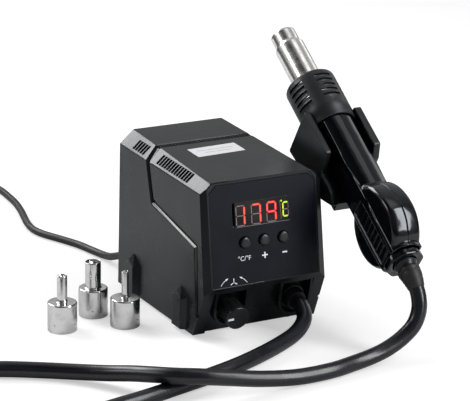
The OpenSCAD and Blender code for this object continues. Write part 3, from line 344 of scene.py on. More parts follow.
# round tube along a route; its sides are carried along without twist
def addTube(name, route, radius, sides, body, look):
    ahead = np.gradient(route, axis=0)
    ahead /= np.linalg.norm(ahead, axis=1, keepdims=True)
    side = np.empty_like(route)
    carried = np.cross(ahead[0], (0.2, 0.1, 1))
    for i, direction in enumerate(ahead):
        carried = unit(carried - (carried @ direction) * direction)
        side[i] = carried
    other = np.cross(ahead, side)
    angle = np.linspace(0, 2 * math.pi, sides, endpoint=False)[None, :, None]
    radius = np.broadcast_to(np.asarray(radius, float).reshape(-1, 1, 1), (len(route), 1, 1))
    rings = route[:, None] + radius * (
        np.cos(angle) * side[:, None] + np.sin(angle) * other[:, None]
    )
    return addStack(name, rings, body, look)


# node helpers and shared effects

# a socket takes another socket's value by a link, or a value of its own
def feed(tree, socket, value):
    if isinstance(value, bpy.types.NodeSocket):
        tree.links.new(value, socket)
    else:
        socket.default_value = value


# one node in a tree: props are its own settings, inputs are numbers, colours or sockets to link
def put(tree, kind, inputs=None, **props):
    made = tree.nodes.new("ShaderNode" + kind)
    for key, value in props.items():
        setattr(made, key, value)
    for key, value in (inputs or {}).items():
        feed(tree, made.inputs[key], value)
    return made


def math1(tree, operation, *values):
    return put(tree, "Math", dict(enumerate(values)), operation=operation).outputs[0]


# value carried from one range to another, held at both ends
def ranged(tree, value, low, high, toLow=0.0, toHigh=1.0):
    made = put(tree, "MapRange", {
        "Value": value, "From Min": low, "From Max": high, "To Min": toLow, "To Max": toHigh,
    }, interpolation_type="SMOOTHSTEP")
    return made.outputs["Result"]


def mixed(tree, share, a, b):
    return put(tree, "Mix", {0: share, 6: a, 7: b}, data_type="RGBA").outputs[2]


# a group as a node in a material's tree
def useGroup(tree, group, inputs):
    return put(tree, "Group", inputs, node_tree=group)


# a named group of nodes with named sockets; build draws its inside
def newGroup(name, inputs, outputs, build):
    group = bpy.data.node_groups.new(name, "ShaderNodeTree")
    for label, kind, default in inputs:
        socket = group.interface.new_socket(label, in_out="INPUT", socket_type="NodeSocket" + kind)
        if default is not None:
            socket.default_value = default
    for label, kind in outputs:
        group.interface.new_socket(label, in_out="OUTPUT", socket_type="NodeSocket" + kind)
    entry = group.nodes.new("NodeGroupInput")
    leave = group.nodes.new("NodeGroupOutput")
    for label, socket in build(group, entry.outputs).items():
        group.links.new(socket, leave.inputs[label])
    return group


# the fine pebbled grain of a moulded case: small cells, softened by a slow wander in their depth
def buildGrain(tree, sockets):
    where = put(tree, "VectorMath", {0: sockets["Vector"], "Scale": sockets["Scale"]}, operation="SCALE")
    cells = put(tree, "TexVoronoi", {"Vector": where.outputs[0], "Scale": 1.0, "Smoothness": 0.5},
                feature="SMOOTH_F1")
    wander = put(tree, "TexNoise", {"Vector": where.outputs[0], "Scale": 0.06, "Detail": 2.0})
    share = ranged(tree, wander.outputs[0], 0.3, 0.7, 0.6, 1.0)
    depth = math1(tree, "MULTIPLY", sockets["Depth"], share)
    bump = put(tree, "Bump", {
        "Height": cells.outputs["Distance"], "Distance": depth, "Strength": 1.0,
    }, invert=True)
    return {"Normal": bump.outputs[0]}


# handling and light: a slow mottle, and thin scuffs that run one way
def buildWear(tree, sockets):
    slow = put(tree, "TexNoise", {"Vector": sockets["Vector"], "Scale": 34.0, "Detail": 4.0})
    stretched = put(tree, "Mapping", {"Vector": sockets["Vector"], "Scale": (30.0, 260.0, 140.0)})
    scuffs = put(tree, "TexNoise", {"Vector": stretched.outputs[0], "Scale": 1.0, "Detail": 3.0})
    return {
        "Mottle": ranged(tree, slow.outputs[0], 0.35, 0.65),
        "Scuff": ranged(tree, scuffs.outputs[0], 0.62, 0.72),
    }


# dust that settles where a surface looks up
def buildDust(tree, sockets):
    normal = put(tree, "NewGeometry").outputs["Normal"]
    upward = put(tree, "SeparateXYZ", {0: normal}).outputs[2]
    specks = put(tree, "TexNoise", {"Vector": sockets["Vector"], "Scale": 420.0, "Detail": 3.0})
    flat, dusty = ranged(tree, upward, 0.4, 1.0), ranged(tree, specks.outputs[0], 0.5, 0.75)
    share = math1(tree, "MULTIPLY", flat, dusty)
    return {"Dust": math1(tree, "MULTIPLY", share, sockets["Amount"])}


vectorIn = ("Vector", "Vector", None)
grainGroup = newGroup(
    "caseGrain", [vectorIn, ("Scale", "Float", 1000.0), ("Depth", "Float", 0.0001)],
    [("Normal", "Vector")], buildGrain,
)
wearGroup = newGroup("handlingWear", [vectorIn], [("Mottle", "Float"), ("Scuff", "Float")], buildWear)
dustGroup = newGroup("settledDust", [vectorIn, ("Amount", "Float", 0.1)], [("Dust", "Float")], buildDust)


# an empty material with its tree and its Object coordinates
def newMaterial(name):
    material = bpy.data.materials.new(name)
    material.use_nodes = True
    tree = material.node_tree
    return material, tree, put(tree, "TexCoord").outputs["Object"]


# named sockets of a material's shader: numbers, colours or sockets to link
def dress(material, sockets):
    tree = material.node_tree
    for name, value in sockets.items():
        feed(tree, tree.nodes["Principled BSDF"].inputs[name], value)
    return material


def grey(value, blue=1.0):
    return (value, value, value * blue, 1.0)


# a colour made lighter or darker
def shaded(colour, factor):
    return tuple(factor * c for c in colour[:3]) + (1.0,)


# materials

# black plastics mirror a little cooler than the lamps
coolSheen = (0.90, 0.95, 1.0, 1.0)


# moulded case plastic: a fine grain, a slow mottle and a little dust
def casePlastic(name, colour, rough, grainScale, grainDepth, dust=0.05, specular=0.5):
    material, tree, where = newMaterial(name)
    grain = useGroup(tree, grainGroup, {"Vector": where, "Scale": grainScale, "Depth": grainDepth})
    mottle = useGroup(tree, wearGroup, {"Vector": where}).outputs["Mottle"]
    film = useGroup(tree, dustGroup, {"Vector": where, "Amount": dust}).outputs["Dust"]
    base = mixed(tree, mottle, shaded(colour, 0.8), colour)
    roughness = ranged(tree, mottle, 0.0, 1.0, rough * 0.92, rough * 1.08)
    return dress(material, {
        "Base Color": mixed(tree, film, base, grey(0.30)),
        "Roughness": math1(tree, "ADD", roughness, math1(tree, "MULTIPLY", film, 0.8)),
        "Normal": grain.outputs["Normal"], "Specular IOR Level": specular, "Specular Tint": coolSheen,
    })


# polished plastic: slow waviness from the mould and faint scuffs
def glossPlastic(name, colour, rough):
    material, tree, where = newMaterial(name)
    wear = useGroup(tree, wearGroup, {"Vector": where}).outputs
    slow = put(tree, "TexNoise", {"Vector": where, "Scale": 60.0, "Detail": 2.0})
    bump = put(tree, "Bump", {"Height": slow.outputs[0], "Distance": 0.0008, "Strength": 0.5})
    mottled = ranged(tree, wear["Mottle"], 0, 1, rough, rough * 1.25)
    return dress(material, {
        "Base Color": mixed(tree, wear["Scuff"], colour, shaded(colour, 1.3)),
        "Roughness": math1(tree, "ADD", mottled, math1(tree, "MULTIPLY", wear["Scuff"], 0.05)),
        "Normal": bump.outputs[0], "Specular Tint": coolSheen,
    })


# soft rubber or cord jacket: matt, with a fine haze
def rubber(name, colour, rough):
    material, tree, where = newMaterial(name)
    fine = put(tree, "TexNoise", {"Vector": where, "Scale": 900.0, "Detail": 3.0})
    bump = put(tree, "Bump", {"Height": fine.outputs[0], "Distance": 0.00012, "Strength": 0.35})
    mottle = useGroup(tree, wearGroup, {"Vector": where}).outputs["Mottle"]
    return dress(material, {
        "Base Color": mixed(tree, mottle, colour, shaded(colour, 1.35)),
        "Roughness": ranged(tree, mottle, 0, 1, rough, min(1.0, rough * 1.2)),
        "Normal": bump.outputs[0],
    })


# Object coordinates in millimetres, along the axes of a place if there is one
def localPoint(tree, where, place):
    if place is None:
        return put(tree, "VectorMath", {0: where, "Scale": 1000.0}, operation="SCALE").outputs[0]
    origin = place((0, 0, 0))
    moved = put(tree, "VectorMath", {0: where, 1: tuple(origin)}, operation="SUBTRACT").outputs[0]
    parts = {}
    for i, axis in enumerate(np.eye(3)):
        along = tuple(1000 * unit(place(axis) - origin))
        dot = put(tree, "VectorMath", {0: moved, 1: along}, operation="DOT_PRODUCT")
        parts[i] = dot.outputs["Value"]
    return put(tree, "CombineXYZ", parts).outputs[0]


# turned or drawn metal: fine lines round the axis of its place, tinted by heat along it if asked
def metal(name, colour, rough, place=None, lines=0.0, heat=None, anisotropy=0.0):
    material, tree, where = newMaterial(name)
    base = colour
    local = localPoint(tree, where, place)
    stretch = put(tree, "Mapping", {"Vector": local, "Scale": (0.12, 0.12, 9.0)})
    drawn = put(tree, "TexNoise", {"Vector": stretch.outputs[0], "Scale": 1.0, "Detail": 4.0})
    smudge = put(tree, "TexNoise", {"Vector": local, "Scale": 0.16, "Detail": 3.0}).outputs[0]
    rise = ranged(tree, drawn.outputs[0], 0.3, 0.7, -0.5 * lines, 0.5 * lines)
    smudged = ranged(tree, smudge, 0.35, 0.7, rough * 0.85, rough * 1.3)
    if heat:
        along = put(tree, "SeparateXYZ", {0: local}).outputs[2]
        wavy = math1(tree, "ADD", along, math1(tree, "MULTIPLY", smudge, 6.0))
        ramp = put(tree, "ValToRGB", {"Fac": ranged(tree, wavy, heat["from"], heat["to"])})
        stops, tints = ramp.color_ramp.elements, heat["colours"]
        stops[0].color, stops[1].color = tints[0], tints[-1]
        for i, tint in enumerate(tints[1:-1], 1):
            stops.new(i / (len(tints) - 1)).color = tint
        base = ramp.outputs["Color"]
    bump = put(tree, "Bump", {"Height": drawn.outputs[0], "Distance": 0.00001, "Strength": 0.2})
    return dress(material, {
        "Base Color": mixed(tree, ranged(tree, smudge, 0.45, 0.7, 0.0, 0.25), base, grey(0.35)),
        "Roughness": math1(tree, "ADD", smudged, rise),
        "Normal": bump.outputs[0], "Metallic": 1.0, "Anisotropic": anisotropy,
    })


# printed or moulded small part: two close shades in soft patches and a fine skin
def plainPart(name, colour, other, rough, scale=300.0, metallic=0.0, specular=0.5):
    material, tree, where = newMaterial(name)
    patches = put(tree, "TexNoise", {"Vector": where, "Scale": scale, "Detail": 4.0}).outputs[0]
    share = ranged(tree, patches, 0.4, 0.6)
    bump = put(tree, "Bump", {"Height": patches, "Distance": 0.00006, "Strength": 0.3})
    return dress(material, {
        "Base Color": mixed(tree, share, colour, other),
        "Roughness": ranged(tree, share, 0, 1, rough, rough * 1.2),
        "Normal": bump.outputs[0], "Metallic": metallic, "Specular IOR Level": specular,
    })


# lamp of a display segment: its glow varies in soft patches
def glowing(name, colour, strength):
    material, tree, where = newMaterial(name)
    patches = put(tree, "TexNoise", {"Vector": where, "Scale": 500.0, "Detail": 2.0})
    return dress(material, {
        "Emission Strength": ranged(tree, patches.outputs[0], 0.35, 0.65, strength * 0.85, strength * 1.1),
        "Emission Color": colour, "Base Color": shaded(colour, 0.3), "Roughness": 0.5,
    })


# green board with traces and copper pads under its mask
def circuitBoard(name):
    material, tree, where = newMaterial(name)
    bricks = put(tree, "TexBrick", {
        "Vector": where, "Scale": 260.0, "Mortar Size": 0.012, "Color1": (0.01, 0.085, 0.04, 1),
        "Color2": (0.012, 0.1, 0.045, 1), "Mortar": (0.03, 0.22, 0.09, 1),
    })
    dots = put(tree, "TexVoronoi", {"Vector": where, "Scale": 230.0})
    pads = ranged(tree, dots.outputs["Distance"], 0.17, 0.14)
    return dress(material, {
        "Base Color": mixed(tree, pads, bricks.outputs[0], (0.75, 0.62, 0.4, 1)), "Roughness": 0.35,
    })


# smoked window: nearly black, with a gloss in front
def smokedWindow(name):
    material, tree, where = newMaterial(name)
    mottle = useGroup(tree, wearGroup, {"Vector": where}).outputs["Mottle"]
    return dress(material, {
        "Base Color": mixed(tree, mottle, (0.004, 0.003, 0.004, 1), (0.007, 0.005, 0.006, 1)),
        "Roughness": ranged(tree, mottle, 0, 1, 0.12, 0.2),
    })


heatTints = {
    "from": 2.0, "to": 60.0,
    "colours": [
        (0.80, 0.79, 0.77, 1), (0.82, 0.815, 0.80, 1), (0.83, 0.825, 0.81, 1), (0.78, 0.76, 0.73, 1),
    ],
}
finish = {
    "housing": casePlastic(
        "casePlastic", (0.0042, 0.0052, 0.0062, 1), 0.29, 1100.0, 0.00004, dust=0.03, specular=0.36
    ),
    "base": casePlastic("basePlastic", grey(0.010), 0.5, 1100.0, 0.00006),
    "panel": casePlastic(
        "panelFilm", (0.0026, 0.0032, 0.0070, 1), 0.32, 1500.0, 0.000012, dust=0.01, specular=0.2
    ),
    "holder": casePlastic("holderPlastic", grey(0.005, 1.15), 0.34, 1500.0, 0.00002, specular=0.45),
    "guard": casePlastic("guardPlastic", grey(0.0085, 1.2), 0.45, 1600.0, 0.00002, dust=0.02),
    "handle": glossPlastic("handleGloss", (0.0018, 0.0021, 0.0032, 1), 0.10),
    "button": glossPlastic("buttonPlastic", grey(0.005, 1.1), 0.25),
    "knob": casePlastic("knobPlastic", grey(0.006, 1.1), 0.34, 1800.0, 0.00001, dust=0.01),
    "gland": glossPlastic("glandPlastic", grey(0.006), 0.3),
    "plug": casePlastic("plugPlastic", grey(0.02), 0.45, 1400.0, 0.00003),
    "rubber": rubber("footRubber", grey(0.012), 0.75),
    "cord": rubber("cordJacket", grey(0.006), 0.45),
    "hose": rubber("hoseRubber", (0.0045, 0.0048, 0.0080, 1), 0.25),
    "window": smokedWindow("smokedWindow"),
    "led": plainPart("displayBody", grey(0.008), grey(0.012), 0.5),
    "circuit_board": circuitBoard("circuitBoard"),
    "parts": plainPart("boardParts", (0.015, 0.03, 0.11, 1), (0.02, 0.02, 0.03, 1), 0.4, 60.0),
    "screw": metal("screwSteel", grey(0.55), 0.3, lines=0.05),
    "shaft": metal("shaftSteel", grey(0.6), 0.28, lines=0.05),
    "core_iron": plainPart("coreIron", grey(0.10), (0.13, 0.11, 0.10, 1), 0.5, 200.0, 0.8),
    "winding": plainPart("windingTape", (0.62, 0.45, 0.07, 1), (0.5, 0.34, 0.05, 1), 0.35, 120.0),
    "fin_metal": metal("finAluminium", grey(0.75), 0.35, lines=0.1),
    "tube_steel": metal(
        "tubeSteel", grey(0.80), 0.22, place=onGun, lines=0.10, heat=heatTints, anisotropy=0.4
    ),
    "mica": plainPart("mica", (0.45, 0.36, 0.22, 1), (0.55, 0.46, 0.30, 1), 0.3, 250.0),
    "ceramic": plainPart("ceramic", (0.72, 0.69, 0.62, 1), (0.62, 0.58, 0.50, 1), 0.7, 200.0),
    "heater_wire": metal("heaterWire", (0.42, 0.30, 0.22, 1), 0.45),
    "motor": metal("motorCan", grey(0.3), 0.35, lines=0.1),
    "nozzle_steel": metal("nozzleSteel", grey(0.72), 0.16, place=onFloor, lines=0.05),
    "pin_metal": metal("pinBrass", (0.75, 0.66, 0.46, 1), 0.25, lines=0.05),
    "ink": plainPart("whiteInk", (0.80, 0.84, 0.90, 1), (0.86, 0.90, 0.95, 1), 0.5, 900.0),
    "paper": plainPart("stickerPaper", grey(0.70, 1.04), grey(0.66, 1.04), 0.45, 700.0),
    # seam bed: painted shade, darker and duller than the case plastic, laid in the seam on the side walls
    "seamBed": plainPart("seamBed", grey(0.0025), grey(0.004), 0.7, 500.0, specular=0.08),
    "seamBar": plainPart("seamBar", grey(0.006), grey(0.008), 0.17, 500.0, specular=0.6),
    # comb bed: painted shade, dark and dull, standing for the shade in the comb's slots
    "combBed": plainPart("combBed", grey(0.0035), grey(0.005), 0.8, 500.0, specular=0.05),
    # comb teeth: a lighter copy of the case plastic, painted light on the teeth
    "combLitTeeth": plainPart("combLitTeeth", grey(0.010), grey(0.013), 0.6, 500.0, specular=0.25),
    # grey ink of the sticker's rules, and also the grey of painted highlights on the window's and the panel's foot
    # edges
    "faintInk": plainPart("faintInk", grey(0.16), grey(0.20), 0.5, 900.0),
    "lit": glowing("litSegment", (1.0, 0.012, 0.03, 1), 0.95),
    "litCore": glowing("litCore", (1.0, 0.15, 0.06, 1), 1.15),
    "litGreen": glowing("litSign", (0.62, 0.9, 0.02, 1), 0.85),
    "unlit": plainPart("unlitSegment", (0.20, 0.145, 0.15, 1), (0.25, 0.18, 0.185, 1), 0.5, 500.0),
    "divider": plainPart("dividerFilm", (0.20, 0.05, 0.05, 1), (0.24, 0.06, 0.06, 1), 0.5, 500.0),
}
slotOf = {part["node"]: part["material_slot"] for part in frame["record"]["subparts"]}
for name, node in frame["nodes"].items():
    node.data.materials.clear()
    node.data.materials.append(finish[slotOf[name]])
print("materials made:", len(finish))


# the two shells: merged copies with a wider seam, fuller edges and open comb

shellShape = {
    # the seam on the side walls as (depth, height) points, its half width at the surface, its depth
    # and the half width of its bed
    "seam": [(-66.2, 20.0), (-61.5, 78.0), (16.0, 92.5), (25.5, 123.7)],
    "halfSeam": 2.8,
    "seamDepth": 1.8,
    "halfBed": 2.2,
    # heights between which it is widened, the lean that parts its upper rim from its lower one, and
    # how far its rim, its bed and the bed's upper side move
    "from": 26.0,
    "to": 126.0,
    "lean": 0.6,
    "widen": 1.15,
    "deepen": {"front_shell": 0.5, "rear_shell": 1.0},
    "upperIn": 1.2,
    # the seam across the top: its front rim and its middle, and how far that rim moves forward
    "topRim": (28.6, 133.8),
    "topMiddle": 31.5,
    "topWiden": 2.6,
    # how near a corner has to lie to count as one of the wall, the rim, the bed and the top's rim
    "near": {"wall": 0.15, "rim": 0.35, "bed": 0.45, "topRim": (0.5, 0.3)},
    # width of the bevel on the front rim, share of it on other edges, and what counts as an edge
    "edge": 1.15,
    "otherEdges": 0.6,
    "shortest": 3.0,
    "leastBend": math.radians(14),
    "mostBend": math.radians(100),
    "skin": 0.3,
    # edges that stay sharp: near the seam, near the top's seam from a height on, and on the chin
    "clear": 4.5,
    "topClear": (4.0, 120.0),
    "chin": (-40.0, 50.0),
    "frontRim": (-66.0, 129.0),
}


# nearest point of a line of points, for many points at once
def nearestOn(line, points):
    best = np.full(len(points), 1e9)
    nearest = np.zeros_like(points)
    for a, b in zip(line, line[1:]):
        share = np.clip((points - a) @ (b - a) / ((b - a) @ (b - a)), 0, 1)
        foot = a + share[:, None] * (b - a)
        away = np.linalg.norm(points - foot, axis=1)
        closer = away < best
        best[closer], nearest[closer] = away[closer], foot[closer]
    return best, nearest


# half width of the case, whose walls lean in towards the top
def wallAt(z):
    half, lean, foot = boxShape["wall"]
    return half - lean * (z - foot)


# corners of a shell with the seam's rims and bed moved, and how many of each were moved
def widenSeam(points, node, shape):
    x, _, z = points.T
    inward = wallAt(z) - np.abs(x)
    away, nearest = nearestOn(np.array(shape["seam"]), points[:, 1:])
    outward = (points[:, 1:] - nearest) / np.maximum(away, 1e-6)[:, None]
    behind = outward[:, 0] - shape["lean"] * outward[:, 1] > 0
    near = shape["near"]
    onWall = (z < shape["to"]) & (z > shape["from"])
    atRim = (np.abs(inward) < near["wall"]) & (np.abs(away - shape["halfSeam"]) < near["rim"])
    rim = onWall & atRim & behind
    bed = onWall & (np.abs(inward - shape["seamDepth"]) < near["bed"]) & (away < shape["halfBed"])
    moved = points.copy()
    moved[rim, 1:] += outward[rim] * shape["widen"]
    moved[bed, 0] -= np.sign(x[bed]) * shape["deepen"][node]
    upper = bed & ~behind & (away > shape["halfBed"] / 2)
    moved[upper, 1:] -= outward[upper] * shape["upperIn"]
    top = (np.abs(points[:, 1:] - shape["topRim"]) < near["topRim"]).all(1)
    moved[top] -= (0, shape["topWiden"], shape["topWiden"] * math.tan(boxShape["topSlope"]))
    return moved, int(rim.sum()), int(bed.sum()), int(top.sum())


# depth of places under the convex skin round a shell's points
def depthUnderHull(points, places):
    hull = bmesh.new()
    for point in points:
        hull.verts.new(point)
    bmesh.ops.convex_hull(hull, input=hull.verts)
    normals = np.array([tuple(f.normal) for f in hull.faces])
    offsets = np.array([np.array(f.normal) @ np.array(f.verts[0].co) for f in hull.faces])
    hull.free()
    return (offsets[None] - places @ normals.T).min(1)


# gives the outer edges of a shell their bevel weights; returns how many edges got one
def weighEdges(work, points, depth, shape):
    layer = work.edges.layers.float.new("bevel_weight_edge")
    away = nearestOn(np.array(shape["seam"]), points[:, 1:])[0]
    reach, foot = shape["topClear"]
    nearTop = (np.abs(points[:, 1] - shape["topMiddle"]) < reach) & (points[:, 2] > foot)
    nearSeam = (away < shape["clear"]) | nearTop
    count = 0
    for line in work.edges:
        if len(line.link_faces) != 2:
            continue
        bend = line.calc_face_angle_signed()
        a, b = [v.index for v in line.verts]
        (front, rear), low = sorted(points[[a, b], 1]), min(points[a, 2], points[b, 2])
        if not shape["leastBend"] < bend < shape["mostBend"] or max(depth[a], depth[b]) > shape["skin"]:
            continue
        if rear < shape["chin"][0] and low < shape["chin"][1]:
            continue
        if nearSeam[a] and nearSeam[b] or line.calc_length() < shape["shortest"] * millimetre:
            continue
        onRim = front < shape["frontRim"][0] and low > shape["frontRim"][1]
        line[layer] = 1.0 if onRim else shape["otherEdges"]
        count += 1
    return count


def addShell(name, node, shape):
    work = bmesh.new()
    work.from_mesh(frame["nodes"][node].data)
    bmesh.ops.remove_doubles(work, verts=work.verts, dist=2e-6)
    work.verts.ensure_lookup_table()
    points = np.array([tuple(v.co) for v in work.verts]) / millimetre
    moved, *counts = widenSeam(points, node, shape)
    for vertex, place in zip(work.verts, moved * millimetre):
        vertex.co = place
    work.normal_update()
    count = weighEdges(work, points, depthUnderHull(points, moved), shape)
    mesh = bpy.data.meshes.new(name)
    work.to_mesh(mesh)
    work.free()
    mesh.materials.append(finish["housing"])
    piece = bpy.data.objects.new(name, mesh)
    bpy.context.collection.objects.link(piece)
    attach(piece, "station")
    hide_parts(node)
    bevel = piece.modifiers.new("edges", "BEVEL")
    bevel.limit_method = "WEIGHT"
    bevel.width = shape["edge"] * millimetre
    bevel.segments = 3
    bevel.use_clamp_overlap = False
    print(name, "moved", counts, "bevelled", count)


addShell("frontCover", "front_shell", shellShape)
addShell("rearCover", "rear_shell", shellShape)
print("shells made")

# dark, dull bed in the seam on both side walls, painted shade that darkens the seam, and the smooth bar along it:
# sections across the seam and out of the wall, carried along the seam with their corners on the bisectors
seamShape = {
    # section of the bed, painted shade that fills the seam
    "bed": [
        (-4.3, -0.4), (-4.05, -0.04), (-2.7, -1.0), (-0.7, -2.5), (1.6, -2.5), (2.75, -1.7), (3.3, -1.7),
        (3.0, -3.2), (-3.0, -3.2),
    ],
    "bar": [(-2.95, -0.5), (-2.75, -0.28), (-1.3, -2.35), (-1.3, -2.9), (-2.9, -1.4)],
    "from": 24.0,
}


def addAlongSeam(name, section, path, low):
    path = np.array(path)
    start = path[0] + (path[1] - path[0]) * (low - path[0][1]) / (path[1][1] - path[0][1])
    path = np.vstack([start, path[1:]])
    ahead = np.diff(path, axis=0)
    ahead /= np.linalg.norm(ahead, axis=1, keepdims=True)
    square = np.stack([-ahead[:, 1], ahead[:, 0]], -1)
    sides = np.vstack([square[0], square[:-1] + square[1:], square[-1]])
    sides /= np.linalg.norm(sides, axis=1, keepdims=True)
    sides[1:-1] /= np.sum(sides[1:-1] * square[:-1], 1)[:, None]
    section = np.array(section)
    pieces = []
    for side in (-1, 1):
        rings = []
        for point, out in zip(path, sides):
            yz = point + section[:, :1] * out
            rings.append(np.column_stack([side * (wallAt(yz[:, 1]) + section[:, 1]), yz]))
        rings = np.array(rings)
        pieces.append(addPrism(name, rings, onFloor, "station", name, smooth=False))
    joined(name, pieces)


# the bed is painted shade in the seam
for name, part in (("seamBed", "bed"), ("seamBar", "bar")):
    addAlongSeam(name, seamShape[part], shellShape["seam"], seamShape["from"])

# raised lip of the panel's film along its head and right side
panelLip = {
    "radius": 0.5 * millimetre,
    "sunk": 0.15,
    "points": [(-46.0, 84.9), (42.4, 84.9), (47.9, 78.6), (47.9, 4.0)],
}


def addPanelLip(shape):
    route = []
    points = roundedLine(shape["points"], 2.0, 6)
    for a, b in zip(points, points[1:]):
        route += [a + (b - a) * t for t in np.linspace(0, 1, 5, endpoint=False)]
    route = np.array(route + [points[-1]])
    route = np.column_stack([route, np.full(len(route), -shape["sunk"])])
    addTube("panelLip", onPanel(route), shape["radius"], 10, "station", "panel")


addPanelLip(panelLip)


# cords

hoseShape = {
    "radius": 6.25 * millimetre,
    "sides": 28,
    "steps": 7,
    "route": [
        (0.0855, -0.1685, 0.0500), (0.0845, -0.1720, 0.0390), (0.0790, -0.1740, 0.0280),
        (0.0690, -0.1745, 0.0195), (0.0560, -0.1750, 0.0130), (0.0420, -0.1755, 0.0090),
        (0.0240, -0.1775, 0.0070), (0.0000, -0.1820, 0.0065), (-0.0300, -0.1830, 0.0070),
        (-0.0600, -0.1820, 0.0105), (-0.0880, -0.1795, 0.0155), (-0.1100, -0.1755, 0.0190),
        (-0.1260, -0.1675, 0.0195), (-0.1370, -0.1540, 0.0175), (-0.1470, -0.1370, 0.0140),
        (-0.1600, -0.1190, 0.0100), (-0.1770, -0.1010, 0.0075), (-0.2000, -0.0830, 0.0065),
        (-0.2260, -0.0680, 0.0065), (-0.2570, -0.0560, 0.0065), (-0.2900, -0.0500, 0.0065),
        (-0.3230, -0.0520, 0.0065), (-0.3530, -0.0660, 0.0065), (-0.3740, -0.0920, 0.0065),
        (-0.3800, -0.1250, 0.0065), (-0.3680, -0.1560, 0.0065), (-0.3420, -0.1780, 0.0065),
        (-0.3100, -0.1880, 0.0065), (-0.2770, -0.1900, 0.0065), (-0.2440, -0.1870, 0.0065),
        (-0.2120, -0.1800, 0.0065), (-0.1800, -0.1730, 0.0065), (-0.1500, -0.1670, 0.0065),
        (-0.1200, -0.1590, 0.0065), (-0.0900, -0.1510, 0.0065), (-0.0620, -0.1420, 0.0065),
        (-0.0380, -0.1320, 0.0065), (-0.0140, -0.1200, 0.0065), (0.0080, -0.1085, 0.0080),
        (0.0205, -0.1005, 0.0115), (0.0275, -0.0930, 0.0160),
    ],
    # its start back along the gun, and its end out of the boss in the chin
    "fromGun": (250.3, 260),
    "bossTilt": math.radians(12),
    "boss": (0.0295, -0.0735, 0.0240),
    "outOfBoss": (10, 4, -0.3),
}


def bossPoint(out):
    tilt = hoseShape["bossTilt"]
    return np.array(hoseShape["boss"]) - out * millimetre * np.array([0, math.cos(tilt), math.sin(tilt)])


hosePoints = [onGun((0, 0, back)) for back in hoseShape["fromGun"]] + hoseShape["route"]
hosePoints += [bossPoint(out) for out in hoseShape["outOfBoss"]]
hoseRoute = smoothRoute(hosePoints, hoseShape["steps"])
hose = addTube(
    "gunHose", hoseRoute, hoseShape["radius"], hoseShape["sides"], None, "hose"
)
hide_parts("gun_hose")
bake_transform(hose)
print("hose length", round(routeLength(hoseRoute), 3))

leadShape = {
    "radius": 3.25 * millimetre,
    "sides": 20,
    "steps": 5,
    "grip": [(-0.0400, 0.0990, 0.0160)],
    "route": [
        (-0.0400, 0.1090, 0.0140), (-0.0400, 0.1190, 0.0103), (-0.0397, 0.1300, 0.0066),
        (-0.0400, 0.1430, 0.0042), (-0.0425, 0.1600, 0.0034), (-0.0470, 0.1800, 0.0033),
        (-0.0550, 0.2010, 0.0033), (-0.0630, 0.2200, 0.0033), (-0.0660, 0.2360, 0.0033),
        (-0.0640, 0.2540, 0.0033), (-0.0590, 0.2740, 0.0033), (-0.0540, 0.2940, 0.0033),
        (-0.0500, 0.3150, 0.0033), (-0.0480, 0.3360, 0.0033), (-0.0470, 0.3580, 0.0033),
        (-0.0490, 0.3780, 0.0033), (-0.0518, 0.3931, 0.0033),
    ],
    "coilMiddle": (-0.0975, 0.4150),
    "turns": (-8.0, 1620.0),
    "turnKnots": [-8, 290, 420, 650, 780, 1000, 1130, 1370, 1500, 1620],
    "turnRadii": [44.2, 44, 37.5, 37.5, 31, 31, 34.3, 34.3, 40.8, 40.8],
    "turnHeights": [3.4, 3.4, 3.4, 3.4, 3.4, 3.4, 9.6, 9.6, 9.6, 9.6],
    "tail": [
        (-0.1385, 0.4060, 0.0100), (-0.1386, 0.3970, 0.0122), (-0.1383, 0.3880, 0.0150),
        (-0.1380, 0.3800, 0.0172), (-0.1380, 0.3730, 0.0180),
    ],
}


# the coil's turns: radius and height by how far round the lead has gone
def coilTurns(shape):
    turned = np.arange(shape["turns"][0], shape["turns"][1] + 1, 15.0)
    r = np.interp(turned, shape["turnKnots"], shape["turnRadii"]) * millimetre
    z = np.interp(turned, shape["turnKnots"], shape["turnHeights"]) * millimetre
    angle = np.radians(turned)
    x, y = shape["coilMiddle"]
    return np.stack([x + r * np.cos(angle), y + r * np.sin(angle), z], -1)


leadPoints = leadShape["grip"] + leadShape["route"] + coilTurns(leadShape).tolist() + leadShape["tail"]
leadRoute = smoothRoute(leadPoints, leadShape["steps"])
lead = addTube(
    "mainsLead", leadRoute, leadShape["radius"], leadShape["sides"], "station", "cord"
)
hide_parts("mains_lead", "mains_coil")
print("mains lead length", round(routeLength(leadRoute), 3))


# control panel: display, frame, labels and buttons

displayShape = {
    "stroke": 1.75,
    "core": 0.6,
    "unlitStroke": 0.75,
    "gap": 0.12,
    "signStroke": 0.72,
    # heights over the panel's face of the window, of the strokes and of their bright cores
    "window": (-0.75, -0.04),
    "strokes": (-0.06, 0.0),
    "cores": (-0.02, 0.03),
    # left, right, foot and head of each digit, and which of its seven segments are lit
    "digits": [
        (-24.8, -16.2, 47.6, 64.3, "bc"),
        (-11.0, -1.8, 47.6, 64.3, "abc"),
        (2.8, 12.1, 47.6, 64.3, "abcfg"),
    ],
    "sign": (17.4, 23.2, 50.0, 62.4, "adef"),
    "degree": (16.6, 63.3, 0.7),
    "divider": (15.8, 15.0, 48.6, 64.0, 0.5),
    "middle": (-0.6, 57.2),
    "halfSize": (25.15, 9.65),
    # grey strip under the window, a painted highlight on its bottom edge
    "windowGlint": (-24.6, 23.4, 46.75, 47.15),
    "lineHeights": (-0.01, 0.04),
}


